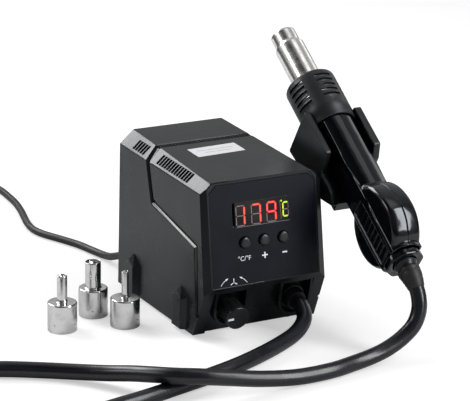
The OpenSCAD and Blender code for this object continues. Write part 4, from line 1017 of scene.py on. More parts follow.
# corner points of a sign's seven segments, as long hexagons
def segments(left, right, foot, head, stroke, gap):
    h = stroke / 2
    middle = (foot + head) / 2
    l, r, lower, upper = left + h, right - h, foot + h, head - h
    lines = {
        "a": ((l, upper), (r, upper)), "b": ((r, middle), (r, upper)), "c": ((r, lower), (r, middle)),
        "d": ((l, lower), (r, lower)), "e": ((l, lower), (l, middle)), "f": ((l, middle), (l, upper)),
        "g": ((l, middle), (r, middle)),
    }
    made = {}
    for name, (start, end) in lines.items():
        start, end = np.array(start), np.array(end)
        along = unit(end - start)
        side = np.array([-along[1], along[0]]) * h
        start, end = start + along * gap, end - along * gap
        made[name] = [
            start, start + along * h - side, end - along * h - side,
            end, end - along * h + side, start + along * h + side,
        ]
    return made


# thin flat pieces on the panel, joined to one object
def addFlat(name, outlines, heights, look, slot=None):
    pieces = [
        addSlab(f"{name}{i}", outline, heights[0], heights[1], onPanel, "station", look, slot,
                edge=0.02, steps=1)
        for i, outline in enumerate(outlines)
    ]
    return joined(name, pieces)


# a segment made narrower across its length
def narrowed(outline, share):
    middle = np.mean(outline, 0)
    along = unit(outline[3] - outline[0])
    side = np.array([-along[1], along[0]])
    offset = np.array(outline) - middle
    return middle + offset - np.outer(offset @ side, side) * (1 - share)


def addDisplay(shape):
    kinds = {"lit": [], "litCore": [], "litGreen": [], "unlit": []}
    for sign in shape["digits"] + [shape["sign"]]:
        isSign = sign is shape["sign"]
        *place, lit = sign
        stroke = shape["stroke"] * (shape["signStroke"] if isSign else 1.0)
        bright = segments(*place, stroke, shape["gap"])
        core = segments(*place, stroke, shape["gap"] + stroke / 4)
        dim = segments(*place, shape["unlitStroke"], shape["gap"] * 4)
        for name in bright:
            if name not in lit:
                kinds["unlit"].append(dim[name])
            elif isSign:
                kinds["litGreen"].append(bright[name])
            else:
                kinds["lit"].append(bright[name])
                kinds["litCore"].append(narrowed(core[name], shape["core"] / stroke))
    x, y, r = shape["degree"]
    turn = np.linspace(0, 2 * math.pi, 12, endpoint=False)
    kinds["litGreen"].append([(x + r * math.cos(t), y + r * math.sin(t)) for t in turn])
    for kind, outlines in kinds.items():
        heights = shape["cores"] if kind == "litCore" else shape["strokes"]
        addFlat(kind + "Segments", outlines, heights, kind, "led")
    foot, head, low, high, wide = shape["divider"]
    divider = [(foot, low), (foot + wide, low), (head + wide, high), (head, high)]
    addFlat("signDivider", [divider], shape["strokes"], "divider", "led")
    # painted highlight: a grey strip along the window's bottom edge
    windowGlint = span(*shape["windowGlint"])
    addFlat("windowEdgeHighlight", [windowGlint], shape["lineHeights"], "faintInk", "panel")
    window = addSlab(
        "displayWindow", rectangle(shape["middle"], *shape["halfSize"], 0.4), *shape["window"], onPanel,
        "station", "window", edge=0.05, steps=2,
    )
    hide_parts("display_window")


addDisplay(displayShape)

labelShape = {
    "heights": (-0.01, 0.03),
    # the letters, their middle and their size
    "unit": ("°C/°F", -18.9, 21.3, 5.3),
    "plus": (-0.35, 21.6, 2.5, 0.55),
    "minus": (17.8, 21.6, 2.1, 0.6),
    "arcMiddle": (-29.4, -6.0),
    "arcRadius": 14.2,
    "arcWidth": 0.55,
    "arcs": [(146, 120), (33, 59)],
    "headLength": 2.6,
    "headWidth": 1.7,
    # the fan sign: its middle and one leaf of it
    "fan": (-29.5, 3.5),
    "leaf": [(0.25, -0.22), (1.87, -0.42), (3.4, -0.30), (3.23, 0.35), (1.7, 0.30), (0.25, 0.2)],
    # thin line along the panel's foot: its bright part, a painted highlight on the panel's edge, and its dark part
    "foot": [(-48.4, -2.0, "faintInk"), (-2.0, 48.4, "window")],
    "footAt": (0.05, 0.32),
    "footHeights": (-0.02, 0.04),
}


# flat letters from the built-in face
def addLetters(name, shape):
    words, x, y, size = shape["unit"]
    low, high = shape["heights"]
    data = bpy.data.curves.new(name, "FONT")
    data.body = words
    data.size = size
    data.extrude = (high - low) / 2
    data.align_x, data.align_y = "CENTER", "CENTER"
    data.resolution_u = 4
    holder = bpy.data.objects.new(name, data)
    bpy.context.collection.objects.link(holder)
    bpy.context.view_layer.update()
    mesh = holder.evaluated_get(bpy.context.evaluated_depsgraph_get()).to_mesh()
    points = np.array([tuple(v.co) for v in mesh.vertices]) + (x, y, (high + low) / 2)
    faces = [list(f.vertices) for f in mesh.polygons]
    holder.to_mesh_clear()
    bpy.data.objects.remove(holder)
    return addPiece(name, onPanel(points), faces, "station", "ink", smooth=False)


# arc with an arrow at its end, from one angle to another round a middle
def arrowArc(start, end, shape):
    middle, radius = np.array(shape["arcMiddle"]), shape["arcRadius"]
    turn = np.radians(np.linspace(start, end, 14))
    swell = np.linspace(0.75, 1.0, 14) * shape["arcWidth"] / 2
    spoke = np.stack([np.cos(turn), np.sin(turn)], -1)
    outer = middle + spoke * (radius + swell)[:, None]
    inner = middle + spoke * (radius - swell)[:, None]
    tip = math.radians(end) + math.copysign(shape["headLength"] / radius, end - start)
    barbs = [middle + spoke[-1] * (radius + half * shape["headWidth"]) for half in (0.5, -0.5)]
    point = middle + radius * np.array([math.cos(tip), math.sin(tip)])
    return [*outer, barbs[0], point, barbs[1], *inner[::-1]]


# an outline turned round the origin and moved to a middle
def turnedTo(middle, outline, angle):
    c, s = math.cos(angle), math.sin(angle)
    return [(middle[0] + c * a - s * b, middle[1] + s * a + c * b) for a, b in outline]


def addLabels(shape):
    addLetters("unitWords0", shape)
    x, y, length, half = shape["plus"]
    ends = [(length, -half), (length, half), (half, half)]
    plus = [point for i in range(4) for point in turnedTo((x, y), ends, i * math.pi / 2)]
    outlines = [plus, bar(*shape["minus"])]
    outlines += [arrowArc(start, end, shape) for start, end in shape["arcs"]]
    outlines += [turnedTo(shape["fan"], shape["leaf"], math.radians(a)) for a in (90, 210, 330)]
    addFlat("panelSigns", outlines, shape["heights"], "ink", "panel")
    # the foot line's bright part is a painted highlight on the panel's edge
    for i, (left, right, kind) in enumerate(shape["foot"]):
        line = span(left, right, *shape["footAt"])
        addFlat(f"footLine{i}", [line], shape["footHeights"], kind, "panel")


addLabels(labelShape)

buttonShape = {
    "x": {"unit": -18.0, "plus": -0.6, "minus": 16.8},
    "y": 34.3,
    "profile": [
        (0, -7.2), (2.4, -7.2), (2.4, -5.2), (4.45, -5.2), (4.45, -4.7), (6.3, -4.7), (6.3, -3.75),
        (4.5, -3.7), (4.5, 1.7, 0.3), (4.15, 2.3, 0.7), (3.2, 2.54, 0.5), (0, 2.6),
    ],
}
for key, x in buttonShape["x"].items():
    middle = onPanel((x, buttonShape["y"], 0))
    cap = addTurned(
        key + "Button", roundedLine(buttonShape["profile"], 0.12), placing(middle, across, panelOut),
        key + "_button", "button", sides=48,
    )
    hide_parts("button_" + key)

stickerShape = {
    "corners": [(-24.5, 14.0), (-24.5, -6.4), (19.7, -4.6), (19.7, 15.6)],
    "heights": (0.01, 0.08),
    # faint rules: left and right end and depth, and their corners' offsets from that depth
    "rules": [(-19.0, 14.0, 7.2), (-14.0, 10.0, 1.8)],
    "ruleRims": (-0.35, -0.1, 0.4, 0.15),
    "ruleHeights": (0.08, 0.11),
}


# the sticker lies on the top, whose slope gives the height of each corner
def onTopAt(points):
    x, y, z = np.asarray(points, float).T
    behind = y - boxShape["topRear"][1] / millimetre
    return onTop(np.stack([x, behind / math.cos(boxShape["topSlope"]), z], -1))


def addSticker(shape):
    addSlab("topSticker", rounded(shape["corners"], 0.8, 3), *shape["heights"], onTopAt, "station",
            "paper", "panel", edge=0.02, steps=1)
    for i, (left, right, y) in enumerate(shape["rules"]):
        rule = [(x, y + rim) for x, rim in zip((left, right, right, left), shape["ruleRims"])]
        addSlab(f"stickerRule{i}", rule, *shape["ruleHeights"], onTopAt, "station", "faintInk",
                "panel", edge=0.01, steps=1)


addSticker(stickerShape)

# dark, dull bed in the seam across the top, painted shade for the comb's slots, with a row of low teeth in a
# lighter copy of the case plastic, painted light on them
combShape = {
    "middle": 30.4,
    "halfWidth": 42.4,
    "halfDepth": 3.9,
    "bed": (-1.5, -0.5),
    "teeth": 31,
    "pitch": 2.7,
    "toothMiddle": 30.7,
    "halfTooth": 0.55,
    "toothDepth": 2.9,
    "toothTop": -0.2,
}


def addComb(shape):
    # painted shade: a dark, dull slab where the comb's slots are
    addSlab("combBed", rectangle((0, shape["middle"]), shape["halfWidth"], shape["halfDepth"], 0.4),
            *shape["bed"], onTopAt, "station", "combBed", "housing", edge=0.1, steps=1)
    # the teeth are lighter than the case they belong to: painted light
    teeth = []
    for i in range(shape["teeth"]):
        middle = ((i - (shape["teeth"] - 1) / 2) * shape["pitch"], shape["toothMiddle"])
        outline = rectangle(middle, shape["halfTooth"], shape["toothDepth"], 0.2, 2)
        teeth.append(addSlab(
            f"tooth{i}", outline, shape["bed"][0], shape["toothTop"], onTopAt, "station",
            "combLitTeeth", "housing", edge=0.12, steps=1,
        ))
    joined("combLitTeeth", teeth)


addComb(combShape)
print("panel dressed")


# air knob

knobShape = {
    "radius": 9.9,
    "back": -3.6,
    "front": 14.0,
    "flutes": 12,
    "fluteDepth": 0.45,
    "fluteFrom": -1.4,
    "fluteTo": 12.4,
    "pointer": (-6.6, 2.6, 0.95),
    "pointerHeights": (13.45, 13.98),
}


# flutes: the radius drops in a narrow valley at each twelfth of a turn, along the knob's grip
def knobFlutes(r, z, angle):
    s = knobShape
    valley = np.clip(np.cos(s["flutes"] * angle), 0, 1) ** 3
    reach = np.clip((z - s["fluteFrom"]) / 0.8, 0, 1) * np.clip((s["fluteTo"] + 1.2 - z) / 1.2, 0, 1)
    return -s["fluteDepth"] * valley * reach * (r > s["radius"] - 0.6)


def knobProfile(s):
    r, back, front = s["radius"], s["back"], s["front"]
    return [
        (2.9, back + 12.4), (2.9, back + 0.2), (5.2, back), (r - 0.8, back), (r, back + 0.8),
        *[(r, z) for z in np.linspace(s["fluteFrom"], s["fluteTo"], 14)],
        (r - 0.15, front - 0.55), (r - 0.6, front - 0.12), (r - 1.1, front), (r - 1.7, front - 0.12),
        (r - 2.4, front - 0.3), (3.0, front - 0.45), (0, front - 0.5),
    ]


knobPiece = addTurned("airKnob", knobProfile(knobShape), onKnob, "knob", "knob",
                      sides=144, shift=knobFlutes)
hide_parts("air_knob")
x, halfLength, halfWidth = knobShape["pointer"]
addSlab("knobPointer", rectangle((x, 0), halfLength, halfWidth, 0.3), *knobShape["pointerHeights"],
        onKnob, "knob", "ink", "knob", edge=0.08, steps=2)
print("knob made")


# nozzles

nozzleShape = {
    "radius": 12.0,
    "bore": 11.0,
    "height": 24.0,
    "shoulder": 1.2,
    "outletHeight": 22.0,
    "outletWall": 0.5,
    "outlets": {"left": 4.15, "middle": 6.4, "right": 2.85},
    # dimples round the collar: how many, how high and how deep they are, and where the first one is
    # in parts of a gap
    "dimples": 4,
    "dimpleHeight": 7.4,
    "dimpleDepth": 0.5,
    "dimplePhase": {"left": 0.124, "middle": 0.798, "right": 0.148},
}


# the pricked dimples of one nozzle's collar
def nozzleDimples(side):
    s = nozzleShape
    gap = 2 * math.pi / s["dimples"]

    def sunk(r, z, angle):
        turn = (angle / gap + s["dimplePhase"][side]) % 1 - 0.5
        off = (turn * gap * s["radius"]) ** 2 + (z - s["dimpleHeight"]) ** 2
        return -s["dimpleDepth"] * np.exp(-off / 0.45) * (r > s["radius"] - 0.5)

    return sunk


def addNozzle(side, outlet):
    s = nozzleShape
    place = placing(mounts[f"nozzle_{side}_bore"]["pos_m"][:2] + [0.0], across, (0, 0, 1))
    h, top, r, bore = s["height"], s["height"] + s["outletHeight"], s["radius"], s["bore"]
    inside = outlet - s["outletWall"]
    wall = [(r, z) for z in np.concatenate([np.linspace(0.5, 8.5, 21), np.linspace(10, 22.4, 6)])]
    shoulder = [(r - inward, h - down) for down, inward in rimSteps(s["shoulder"], 6)]
    neck = [(outlet + out, h + up) for out, up in ((1.5, 0), (0.9, 0.05), (0.35, 0.25), (0.06, 0.7))]
    profile = [
        (bore, 0.25), (bore + 0.15, 0.05), (r - 0.15, 0.05), (r, 0.2), *wall, *shoulder, *neck,
        (outlet, h + 1.2), *[(outlet, z) for z in np.linspace(h + 3, top - 1, 6)],
        (outlet, top - 0.15), (outlet - 0.12, top), (inside + 0.12, top), (inside, top - 0.15),
        (inside, h - 1.6), (bore, h - 2.4), *[(bore, z) for z in np.linspace(h - 4, 2, 6)],
    ]
    piece = addTurnedLoop(side + "Nozzle", profile, place, side + "_nozzle", "nozzle_steel", sides=96,
                          shift=nozzleDimples(side))
    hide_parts(f"nozzle_collar_{side}", f"nozzle_outlet_{side}")


for side, outlet in nozzleShape["outlets"].items():
    addNozzle(side, outlet)
print("nozzles made")


# gun: handle, guard, tube, collar and boot

handleShape = {
    # its barrel's radius and half width over the flats
    "barrelRadius": 18.4,
    "flat": 13.6,
    # drum: its middle, its height above and below the axis, its reach ahead and behind, its half
    # width, its rim and crown, and the fillet towards the barrel
    "drumAt": 209.0,
    "above": 32.8,
    "below": 30.6,
    "ahead": 40.0,
    "behind": 32.0,
    "aheadBelow": 32.0,
    "drumHalf": 12.9,
    "rim": 3.6,
    "crown": 1.1,
    "fillet": {"reach": 0.6, "height": 0.12},
    # thickness of a half, and the groove where the two halves meet
    "shell": 1.8,
    "seam": 0.05,
    "seamDepth": 0.35,
    "seamWidth": 0.30,
    # slotted band on each flat: where it runs, how far it is let in, and its slanted louvres
    "band": {"from": 182.0, "to": 235.5, "low": -10.2, "high": 6.6, "depth": 1.1, "pitch": 5.75,
             "slant": 0.06, "rib": 0.55},
    # ridge along the upper border of the flat
    "ridge": {"at": [99, 140, 176, 205, 234], "q": [8.6, 11.6, 14.6, 12.0, 8.8], "height": 0.55,
              "width": 0.42},
    # its grid: runs of rings along the gun, runs of points down the outside, and points up the inside
    "rings": [(99, 168, 46), (168, 184, 40), (184, 239, 112)],
    "outside": [(0.0, 0.50, 34), (0.50, 2.35, 84), (2.35, math.pi, 24)],
    "inside": 30,
}


def smoothStep(value, low, high):
    t = np.clip((value - low) / (high - low), 0, 1)
    return t * t * (3 - 2 * t)


# distance of the handle's skin, let in by t, from the gun's axis, at a place along it and an angle from
# the top: the larger of the flat-sided barrel and of the drum, a rounded disc found by halving
def handleRadius(a, angle, t, s):
    sine, cosine = np.abs(np.sin(angle)), np.cos(angle)
    barrel = np.minimum(s["barrelRadius"] - t, (s["flat"] - t) / np.maximum(sine, 1e-6))
    above = smoothStep(cosine, -0.25, 0.25)
    tall = s["below"] + (s["above"] - s["below"]) * above
    ahead = s["aheadBelow"] + (s["ahead"] - s["aheadBelow"]) * above
    reach = np.where(a < s["drumAt"], ahead, s["behind"])
    low, high = np.zeros_like(barrel), np.full_like(barrel, 40.0)
    for _ in range(24):
        middle = (low + high) / 2
        x = middle * sine
        far = tall * np.hypot(middle * cosine / tall, (a - s["drumAt"]) / reach)
        far = far + s["crown"] * (x / s["drumHalf"]) ** 2
        outX = np.maximum(x - (s["drumHalf"] - s["rim"]), 0)
        outR = np.maximum(far - (tall - s["rim"]), 0)
        inside = np.hypot(outX, outR) < s["rim"] - t
        low, high = np.where(inside, middle, low), np.where(inside, high, middle)
    drum = low
    gap = np.clip((drum - barrel) / s["fillet"]["reach"], -40, 40)
    return np.maximum(drum, barrel) + s["fillet"]["height"] * np.exp(-gap**2)


# share of a band between two places that begins and ends within a soft border
def within(value, low, high, border):
    return smoothStep(value, low, low + border) * (1 - smoothStep(value, high - border, high))


# how far a point of the outer skin is let in: the louvred band and its ridge on the flats
def flatRelief(a, x, q, s):
    band, ridge = s["band"], s["ridge"]
    side = smoothStep(np.abs(x), s["drumHalf"] - 1.6, s["drumHalf"] - 0.4)
    window = within(a, band["from"], band["to"], 0.8) * within(q, band["low"], band["high"], 0.7)
    phase = ((a + band["slant"] * q) / band["pitch"]) % 1
    rib = smoothStep(0.5 - np.abs(phase - 0.5), 0.36, 0.46) * band["rib"]
    depth = window * (band["depth"] - rib * within(q, band["low"] + 0.7, band["high"] - 0.7, 0.9))
    line = np.interp(a, ridge["at"], ridge["q"])
    raised = ridge["height"] * np.exp(-(((q - line) / ridge["width"]) ** 2))
    return side * (depth - raised)


# half of the handle: rings that run out over the skin and back inside it, one ring a step along the gun
def addHandleHalf(name, side, s, node):
    a = np.unique(np.round(np.concatenate([np.linspace(*run) for run in s["rings"]]), 4))[:, None]
    runs = [np.linspace(*run, endpoint=run[1] == math.pi) for run in s["outside"]]
    turn = np.concatenate(runs)[None, :]
    r = handleRadius(a, turn, 0.0, s)
    x, q = r * np.sin(turn), r * np.cos(turn)
    groove = s["seamDepth"] * np.exp(-((x / s["seamWidth"]) ** 2))
    relief = flatRelief(a, x, q, s)
    q = q * (1 - groove / np.maximum(r, 1))
    x = np.maximum(x - relief, s["seam"])
    back = np.linspace(math.pi, 0, s["inside"])[None, :]
    inner = handleRadius(a, back, s["shell"], s)
    xIn, qIn = np.maximum(inner * np.sin(back), s["seam"]), inner * np.cos(back)
    rings = np.stack([
        side * np.concatenate([x, xIn], 1), np.concatenate([q, qIn], 1),
        np.concatenate([a + 0 * x, a + 0 * xIn], 1),
    ], -1)
    rows, cols = rings.shape[:2]
    faces = gridFaces(rows, cols).tolist()
    # both ends are closed by strips between the outside and the inside
    strips, last = s["inside"] - 1, turn.size - 1
    share = np.round(np.arange(strips + 1) / strips * last).astype(int)
    for row in (0, rows - 1):
        start = row * cols
        for n in range(strips):
            foot = start + cols - 1 - n
            loop = [start + m for m in range(share[n], share[n + 1] + 1)] + [foot - 1, foot]
            faces.append(loop if row else loop[::-1])
    piece = addPiece(name, onGun(rings.reshape(-1, 3)), faces, "gun", "handle")
    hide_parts(node)


addHandleHalf("handleLeft", -1, handleShape, "handle_shell_left")
addHandleHalf("handleRight", 1, handleShape, "handle_shell_right")
print("handle made")

endShape = {
    "collar": {"radius": 16.5, "from": 239.05, "to": 245.05, "edge": 0.9, "bore": 5.25, "soft": 0.03},
    "boot": [
        (6.4, 245.1), (9.7, 245.1, 0.3), (10.0, 246.0, 0.4), (9.2, 246.6, 0.4), (9.1, 247.4, 0.4),
        (8.8, 247.6, 0.3), (8.3, 248.3, 0.4), (8.2, 249.2, 0.4), (7.6, 250.0, 0.5), (6.4, 250.0),
    ],
}


# the octagonal collar: eight sides with soft corners and rounded rims
def addEndCollar(s):
    count, eighth = 96, math.pi / 4
    angle = np.linspace(0, 2 * math.pi, count, endpoint=False)
    off = (angle + eighth / 2) % eighth - eighth / 2
    octagon = s["radius"] * math.cos(eighth / 2) / np.cos(off)
    octagon = octagon * (1 - s["soft"] * smoothStep(np.abs(off), 0.28, 0.40))
    bore = np.full(count, s["bore"])
    rim = rimSteps(s["edge"], 4)
    levels = [(bore, s["from"]), (octagon - s["edge"], s["from"])]
    levels += [(octagon - inward, s["from"] + up) for inward, up in rim]
    levels += [(octagon - inward, s["to"] - down) for inward, down in rim[::-1]] + [(bore, s["to"])]
    rings = np.array([
        np.stack([r * np.sin(angle), r * np.cos(angle), np.full(count, z)], -1) for r, z in levels
    ])
    faces = gridFaces(len(rings), count, rowsClosed=True).tolist()
    piece = addPiece("handleEnd", onGun(rings.reshape(-1, 3)), faces, "gun", "handle")
    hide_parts("handle_end_collar")


addEndCollar(endShape["collar"])
boot = addTurnedLoop("hoseBoot", rounded(endShape["boot"], 0.2, 3), onGun, "gun", "gland", sides=48)
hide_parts("hose_boot")

# soft sleeve round the start of the hose: how far along it and how thick, in millimetres
sleeveShape = [(0, 8.6), (0.5, 9.1), (1.6, 9.3), (3.8, 9.2), (4.4, 8.8), (5.2, 8.8), (5.8, 8.9), (9, 8.4),
               (9.6, 8.0), (10.4, 7.9), (11, 8.0), (14, 7.3), (16, 6.9), (16.8, 6.6), (17, 6.2)]


def addSleeve(shape):
    along, radius = np.array(shape).T * millimetre
    route = np.stack([np.interp(along, walkedAlong(hoseRoute), axis) for axis in hoseRoute.T], -1)
    addTube("hoseSleeve", route, radius, 40, "gun", "cord")


addSleeve(sleeveShape)

cradleShape = {
    # the two cheeks: where each stands across the gun, and its outline back along the gun and up
    "cheeks": [
        {"low": -25.4, "high": -19.9, "outline": [
            (91.6, 11.4, 1.6), (135.5, 11.8, 2.6), (139.5, -6.0, 4.0), (141.0, -9.0, 4.0),
            (152.0, -8.3, 5.0), (160.0, -9.6, 6.0), (171.4, -14.8, 2.5), (151.0, -27.4, 3.0),
            (94.6, -34.4, 2.4),
        ]},
        {"low": 18.6, "high": 25.4, "outline": [
            (95.0, 14.4, 2.5), (135.5, 14.6, 2.4), (141.5, 3.0, 3.0), (143.0, -12.0, 4.0),
            (158.0, -14.0, 4.0), (150.5, -27.0, 3.0), (95.0, -29.8, 4.0),
        ]},
    ],
    "edge": 1.1,
    # the tab on the left cheek: its left and right side, and its outline in depth and height
    "tabAt": (60.2, 65.0),
    "tab": [(-46, 93, 2), (-14, 93, 2), (-8, 100, 2), (-8, 118, 1.5), (-21, 119.5, 1.5), (-46, 118, 2)],
    "trough": {
        "left": -20.2, "right": 18.9, "low": -24.0, "high": -15.0, "from": 103.0, "to": 168.0,
        "radius": 18.9,
    },
}


# place whose first axis runs back along the gun, second up out of the holder, third across it
def cheekPlace(points):
    return onGun(np.asarray(points, float)[:, [2, 1, 0]])


# place whose first axis runs to the rear, second up, third to the right
def sidePlace(points):
    return onFloor(np.asarray(points, float)[:, [2, 0, 1]])


# the trough: a block whose top is hollowed by a round of the handle's size
def addTrough(s):
    x = np.linspace(s["left"], s["right"], 41)
    q = np.minimum(s["high"], -np.sqrt(np.maximum(s["radius"] ** 2 - x**2, 0)))
    section = np.vstack([np.column_stack([x, q]), (s["right"], s["low"]), (s["left"], s["low"])])
    rings = np.array([
        np.column_stack([section, np.full(len(section), a)]) for a in (s["from"], s["to"])
    ])
    return addPrism("trough", rings, onGun, "station", "holder", smooth=False)


def addCradle(s):
    pieces = [addTrough(s["trough"])]
    for cheek in s["cheeks"]:
        pieces.append(addSlab(
            "cheek", rounded(cheek["outline"], 2.0), cheek["low"], cheek["high"], cheekPlace, "station",
            "holder", edge=s["edge"], steps=4,
        ))
    pieces.append(addSlab("tab", rounded(s["tab"], 2.0), *s["tabAt"], sidePlace, "station",
                          "holder", edge=1.0))
    cradle = joined("holderCradle", pieces)
    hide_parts("holder_cradle")


addCradle(cradleShape)
print("holder made")


# heat guard and steel tube

guardShape = {
    "radius": 21.6,
    "wall": 1.9,
    "mouth": 14.2,
    # (place along the gun, outer radius) ahead of the slots and behind them
    "front": [(56.2, 14.2), (56.2, 19.7), (56.45, 20.7), (57.1, 21.35), (58.1, 21.6)],
    "rear": [
        (90.0, 21.6), (96.7, 21.6), (97.5, 20.9), (102.2, 20.9), (103.05, 20.55), (103.4, 19.7),
        (103.4, 19.7),
    ],
    # where the inner skin lies at the front's first four places
    "innerFront": [57.8, 57.9, 58.0, 58.05],
    # groups of slots round it, in degrees, and the slots of each group along it
    "groups": 5,
    "firstGroup": 4.0,
    "halfGroup": 21.0,
    "slots": 5,
    "firstSlot": 62.4,
    "slotPitch": 5.2,
    "slotWidth": 2.3,
    # columns of the grid in a group of slots and in the rib beside it
    "columns": (12, 8),
    "edge": 0.35 * millimetre,
}


# sleeve with slots: two skins on one grid, open at masked cells, with walls round each opening
def addGuard(s):
    group, (inSlot, inRib) = 360.0 / s["groups"], s["columns"]
    starts = s["firstGroup"] + group * np.arange(s["groups"])[:, None]
    slot = np.linspace(-s["halfGroup"], s["halfGroup"], inSlot, endpoint=False)
    rib = np.linspace(s["halfGroup"], group - s["halfGroup"], inRib, endpoint=False)
    angle = np.radians((starts + np.concatenate([slot, rib])[None, :]).ravel())
    columnOpen = np.tile(np.arange(inSlot + inRib) < inSlot, s["groups"])
    slotStarts = s["firstSlot"] - s["slotWidth"] / 2 + s["slotPitch"] * np.arange(s["slots"])
    slotLevels = [(start + end, s["radius"]) for start in slotStarts for end in (0, s["slotWidth"])]
    slotRows = len(s["front"]) + 2 * np.arange(s["slots"])
    a, outer = np.array(s["front"] + slotLevels + s["rear"]).T
    inner = np.full(len(a), s["radius"] - s["wall"])
    inner[0] = s["mouth"]
    innerA = a.copy()
    innerA[:4] = s["innerFront"]
    rows, cols = len(a), len(angle)
    skins = []
    for radius, along in ((outer, a), (inner, innerA)):
        skins.append(np.stack([
            radius[:, None] * np.sin(angle), radius[:, None] * np.cos(angle), along[:, None] + 0 * angle
        ], -1))
    points = np.concatenate([skin.reshape(-1, 3) for skin in skins])
    size = rows * cols
    opened = np.zeros((rows - 1, cols), bool)
    opened[slotRows] = columnOpen
    faces = []
    for r in range(rows - 1):
        for c in range(cols):
            n = (c + 1) % cols
            p = [r * cols + c, r * cols + n, (r + 1) * cols + n, (r + 1) * cols + c]
            if not opened[r, c]:
                faces += [p, [i + size for i in p[::-1]]]
                continue
            sides = ((r, c - 1, 3, 0), (r, n, 1, 2), (r - 1, c, 0, 1), (r + 1, c, 2, 3))
            for row, column, i, j in sides:
                if not opened[row, column % cols]:
                    faces.append([p[j], p[i], p[i] + size, p[j] + size])
    for c in range(cols):
        n = (c + 1) % cols
        faces.append([n, c, size + c, size + n])
    piece = addPiece("heatGuard", onGun(points), faces, "gun", "guard")
    bevelled = piece.modifiers.new("softEdges", "BEVEL")
    bevelled.width = s["edge"]
    bevelled.segments = 2
    bevelled.limit_method = "ANGLE"
    bevelled.angle_limit = math.radians(50)
    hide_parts("heat_guard")


addGuard(guardShape)

tubeShape = {
    "mouthRadius": 10.8,
    "radius": 12.65,
    "step": 13.8,
    "to": 98.0,
    "wall": 0.7,
}


# drawn tube: a narrower mouth, a short cone and the long tube, hollow
def addSteelTube(s):
    wall, mouth, r = s["wall"], s["mouthRadius"], s["radius"]
    profile = [
        (mouth - wall, 0.12), (mouth - 0.55, 0.0), (mouth - 0.12, 0.0), (mouth, 0.15),
        *[(mouth, z) for z in np.linspace(2, s["step"] - 2.2, 5)],
        (mouth + 0.12, s["step"] - 1.3), (mouth + 0.55, s["step"] - 0.5), (r - 0.45, s["step"] + 0.1),
        (r - 0.1, s["step"] + 0.7), (r, s["step"] + 1.6), *[(r, z) for z in np.linspace(20, s["to"], 12)],
        (r - wall, s["to"]), *[(r - wall, z) for z in np.linspace(s["to"] - 8, s["step"] + 2, 5)],
        (mouth - wall, s["step"] - 1.5),
    ]
    piece = addTurnedLoop("steelTube", profile, onGun, "gun", "tube_steel", sides=96)
    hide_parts("heater_tube")


addSteelTube(tubeShape)

# steel liner under the guard's slots: its inner and outer radius, and where it runs along the gun
linerShape = (16.7, 17.2, 60.2, 92.0)
addTurnedLoop("guardLiner", span(*linerShape), onGun, "gun", "tube_steel", sides=72)
print("guard and tube made")


# floor, light and background

roomShape = {
    "floor": (-2.2, 2.6, -1.15, 3.4),
    "white": 0.94,
    # share of the floor's own light that the camera and mirrors see, and what its shadows keep
    "glow": 0.50,
    "kept": 0.62,
    # what mirrors see: the white paper, where it ends and how dark the table is beyond it
    "mirroredWhite": 0.74,
    "paper": (0.75, 1.0),
    "beyond": 0.10,
    # lamps: name, place, target, way up, width, height and power
    "lamps": [
        ("keyBox", (0.77, -1.02, 0.84), (0.08, -0.10, 0.10), (0, 0.65, 0.76), 0.38, 1.5, 20.0),
        ("leftBox", (-1.35, 0.35, 0.95), (0.0, 0.0, 0.08), (0, 0, 1), 0.5, 0.4, 3.0),
        ("rearBox", (-0.58, 1.23, 1.08), (-0.05, -0.02, 0.12), (0, 0, 1), 1.0, 0.70, 19.0),
    ],
    # soft boxes on the room's wall: azimuth from the rear towards the right, height over the
    # floor and half widths of their full and their faded part, all in degrees, and their level
    "boxes": [
        (100, 74, 8, 16, 1.0),
        (66, 18, 7, 17, 0.85),
        (148, 5, 4, 22, 0.35),
        (-69, 31, 3, 9, 0.9),
        (-90, 60, 14, 26, -0.28),
    ],
}


def addFloor(shape):
    mesh = bpy.data.meshes.new("floor")
    mesh.from_pydata([(x, y, 0) for x, y in span(*shape["floor"])], [], [(0, 1, 2, 3)])
    material, tree, where = newMaterial("whiteFloor")
    patches = put(tree, "TexNoise", {"Vector": where, "Scale": 3.0})
    seen = put(tree, "LightPath").outputs
    mirrored, seen = seen["Is Glossy Ray"], seen["Is Camera Ray"]
    paper = mixed(tree, patches.outputs[0], grey(shape["white"]), grey(shape["white"] * 0.99))
    kept = mixed(tree, seen, paper, grey(shape["white"] * shape["kept"]))
    away = put(tree, "VectorMath", {0: where}, operation="LENGTH").outputs["Value"]
    edge = ranged(tree, away, *shape["paper"])
    paper = mixed(tree, edge, grey(shape["white"] * shape["mirroredWhite"]), grey(shape["beyond"]))
    kept = mixed(tree, mirrored, kept, paper)
    mesh.materials.append(dress(material, {
        "Base Color": kept, "Emission Strength": math1(tree, "MULTIPLY", seen, shape["glow"]),
        "Emission Color": grey(1.0), "Roughness": 0.9, "Specular IOR Level": 0.1,
    }))
    floor = bpy.data.objects.new("floor", mesh)
    bpy.context.collection.objects.link(floor)


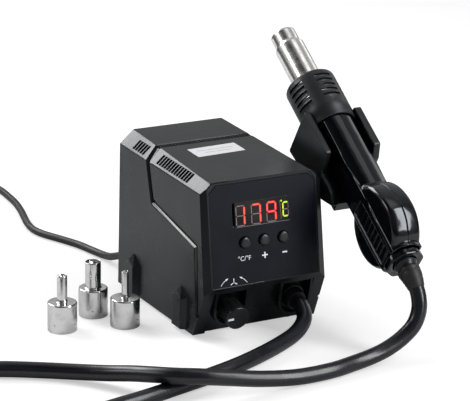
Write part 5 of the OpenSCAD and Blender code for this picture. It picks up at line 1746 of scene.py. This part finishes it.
# rectangular lamp at a place, looking at a target, its height along the way up that is given
def addLamp(name, place, target, upward, width, height, power):
    data = bpy.data.lights.new(name, "AREA")
    data.shape = "RECTANGLE"
    data.size, data.size_y, data.energy = width, height, power
    lamp = bpy.data.objects.new(name, data)
    bpy.context.collection.objects.link(lamp)
    back = unit(np.subtract(place, target))
    side = unit(np.cross(upward, back))
    matrix = np.eye(4)
    matrix[:3, 0], matrix[:3, 1], matrix[:3, 2], matrix[:3, 3] = side, np.cross(back, side), back, place
    lamp.matrix_world = Matrix(matrix.tolist())


# direction of an azimuth from the rear towards the right and a height over the floor, in degrees
def direction(azimuth, height):
    a, h = math.radians(azimuth), math.radians(height)
    return (math.sin(a) * math.cos(h), math.cos(a) * math.cos(h), math.sin(h))


# room seen by the surfaces: bright behind, dark in front, with soft boxes; the camera sees plain white
def addRoom(shape):
    world = bpy.data.worlds.new("studio")
    bpy.context.scene.world = world
    world.use_nodes = True
    tree = world.node_tree
    tree.nodes.clear()
    towards = put(tree, "TexCoord").outputs["Generated"]
    parts = put(tree, "SeparateXYZ", {0: towards}).outputs
    depth = ranged(tree, parts[1], -0.4, 0.6, 0.14, 0.46)
    height = ranged(tree, parts[2], -0.1, 0.9, 0.9, 1.2)
    horizon = ranged(tree, parts[2], 0.0, 0.2, 0.25, 1.0)
    level = math1(tree, "MULTIPLY", math1(tree, "MULTIPLY", depth, height), horizon)
    for azimuth, up, full, faded, strength in shape["boxes"]:
        near = put(tree, "VectorMath", {0: towards, 1: direction(azimuth, up)}, operation="DOT_PRODUCT")
        box = ranged(tree, near.outputs["Value"], math.cos(math.radians(faded)),
                     math.cos(math.radians(full)), 0.0, strength)
        level = math1(tree, "MAXIMUM", math1(tree, "ADD", level, box), 0.02)
    camera = put(tree, "LightPath").outputs["Is Camera Ray"]
    strength = put(tree, "Mix", {0: camera, 2: level, 3: 1.0}, data_type="FLOAT").outputs[0]
    background = put(tree, "Background", {"Color": (1, 1, 1, 1), "Strength": strength})
    out = put(tree, "OutputWorld", {"Surface": background.outputs[0]})
    out.is_active_output = True


addFloor(roomShape)
for lamp in roomShape["lamps"]:
    addLamp(*lamp)
addRoom(roomShape)
bpy.context.scene.view_settings.view_transform = "Standard"
print("room made")
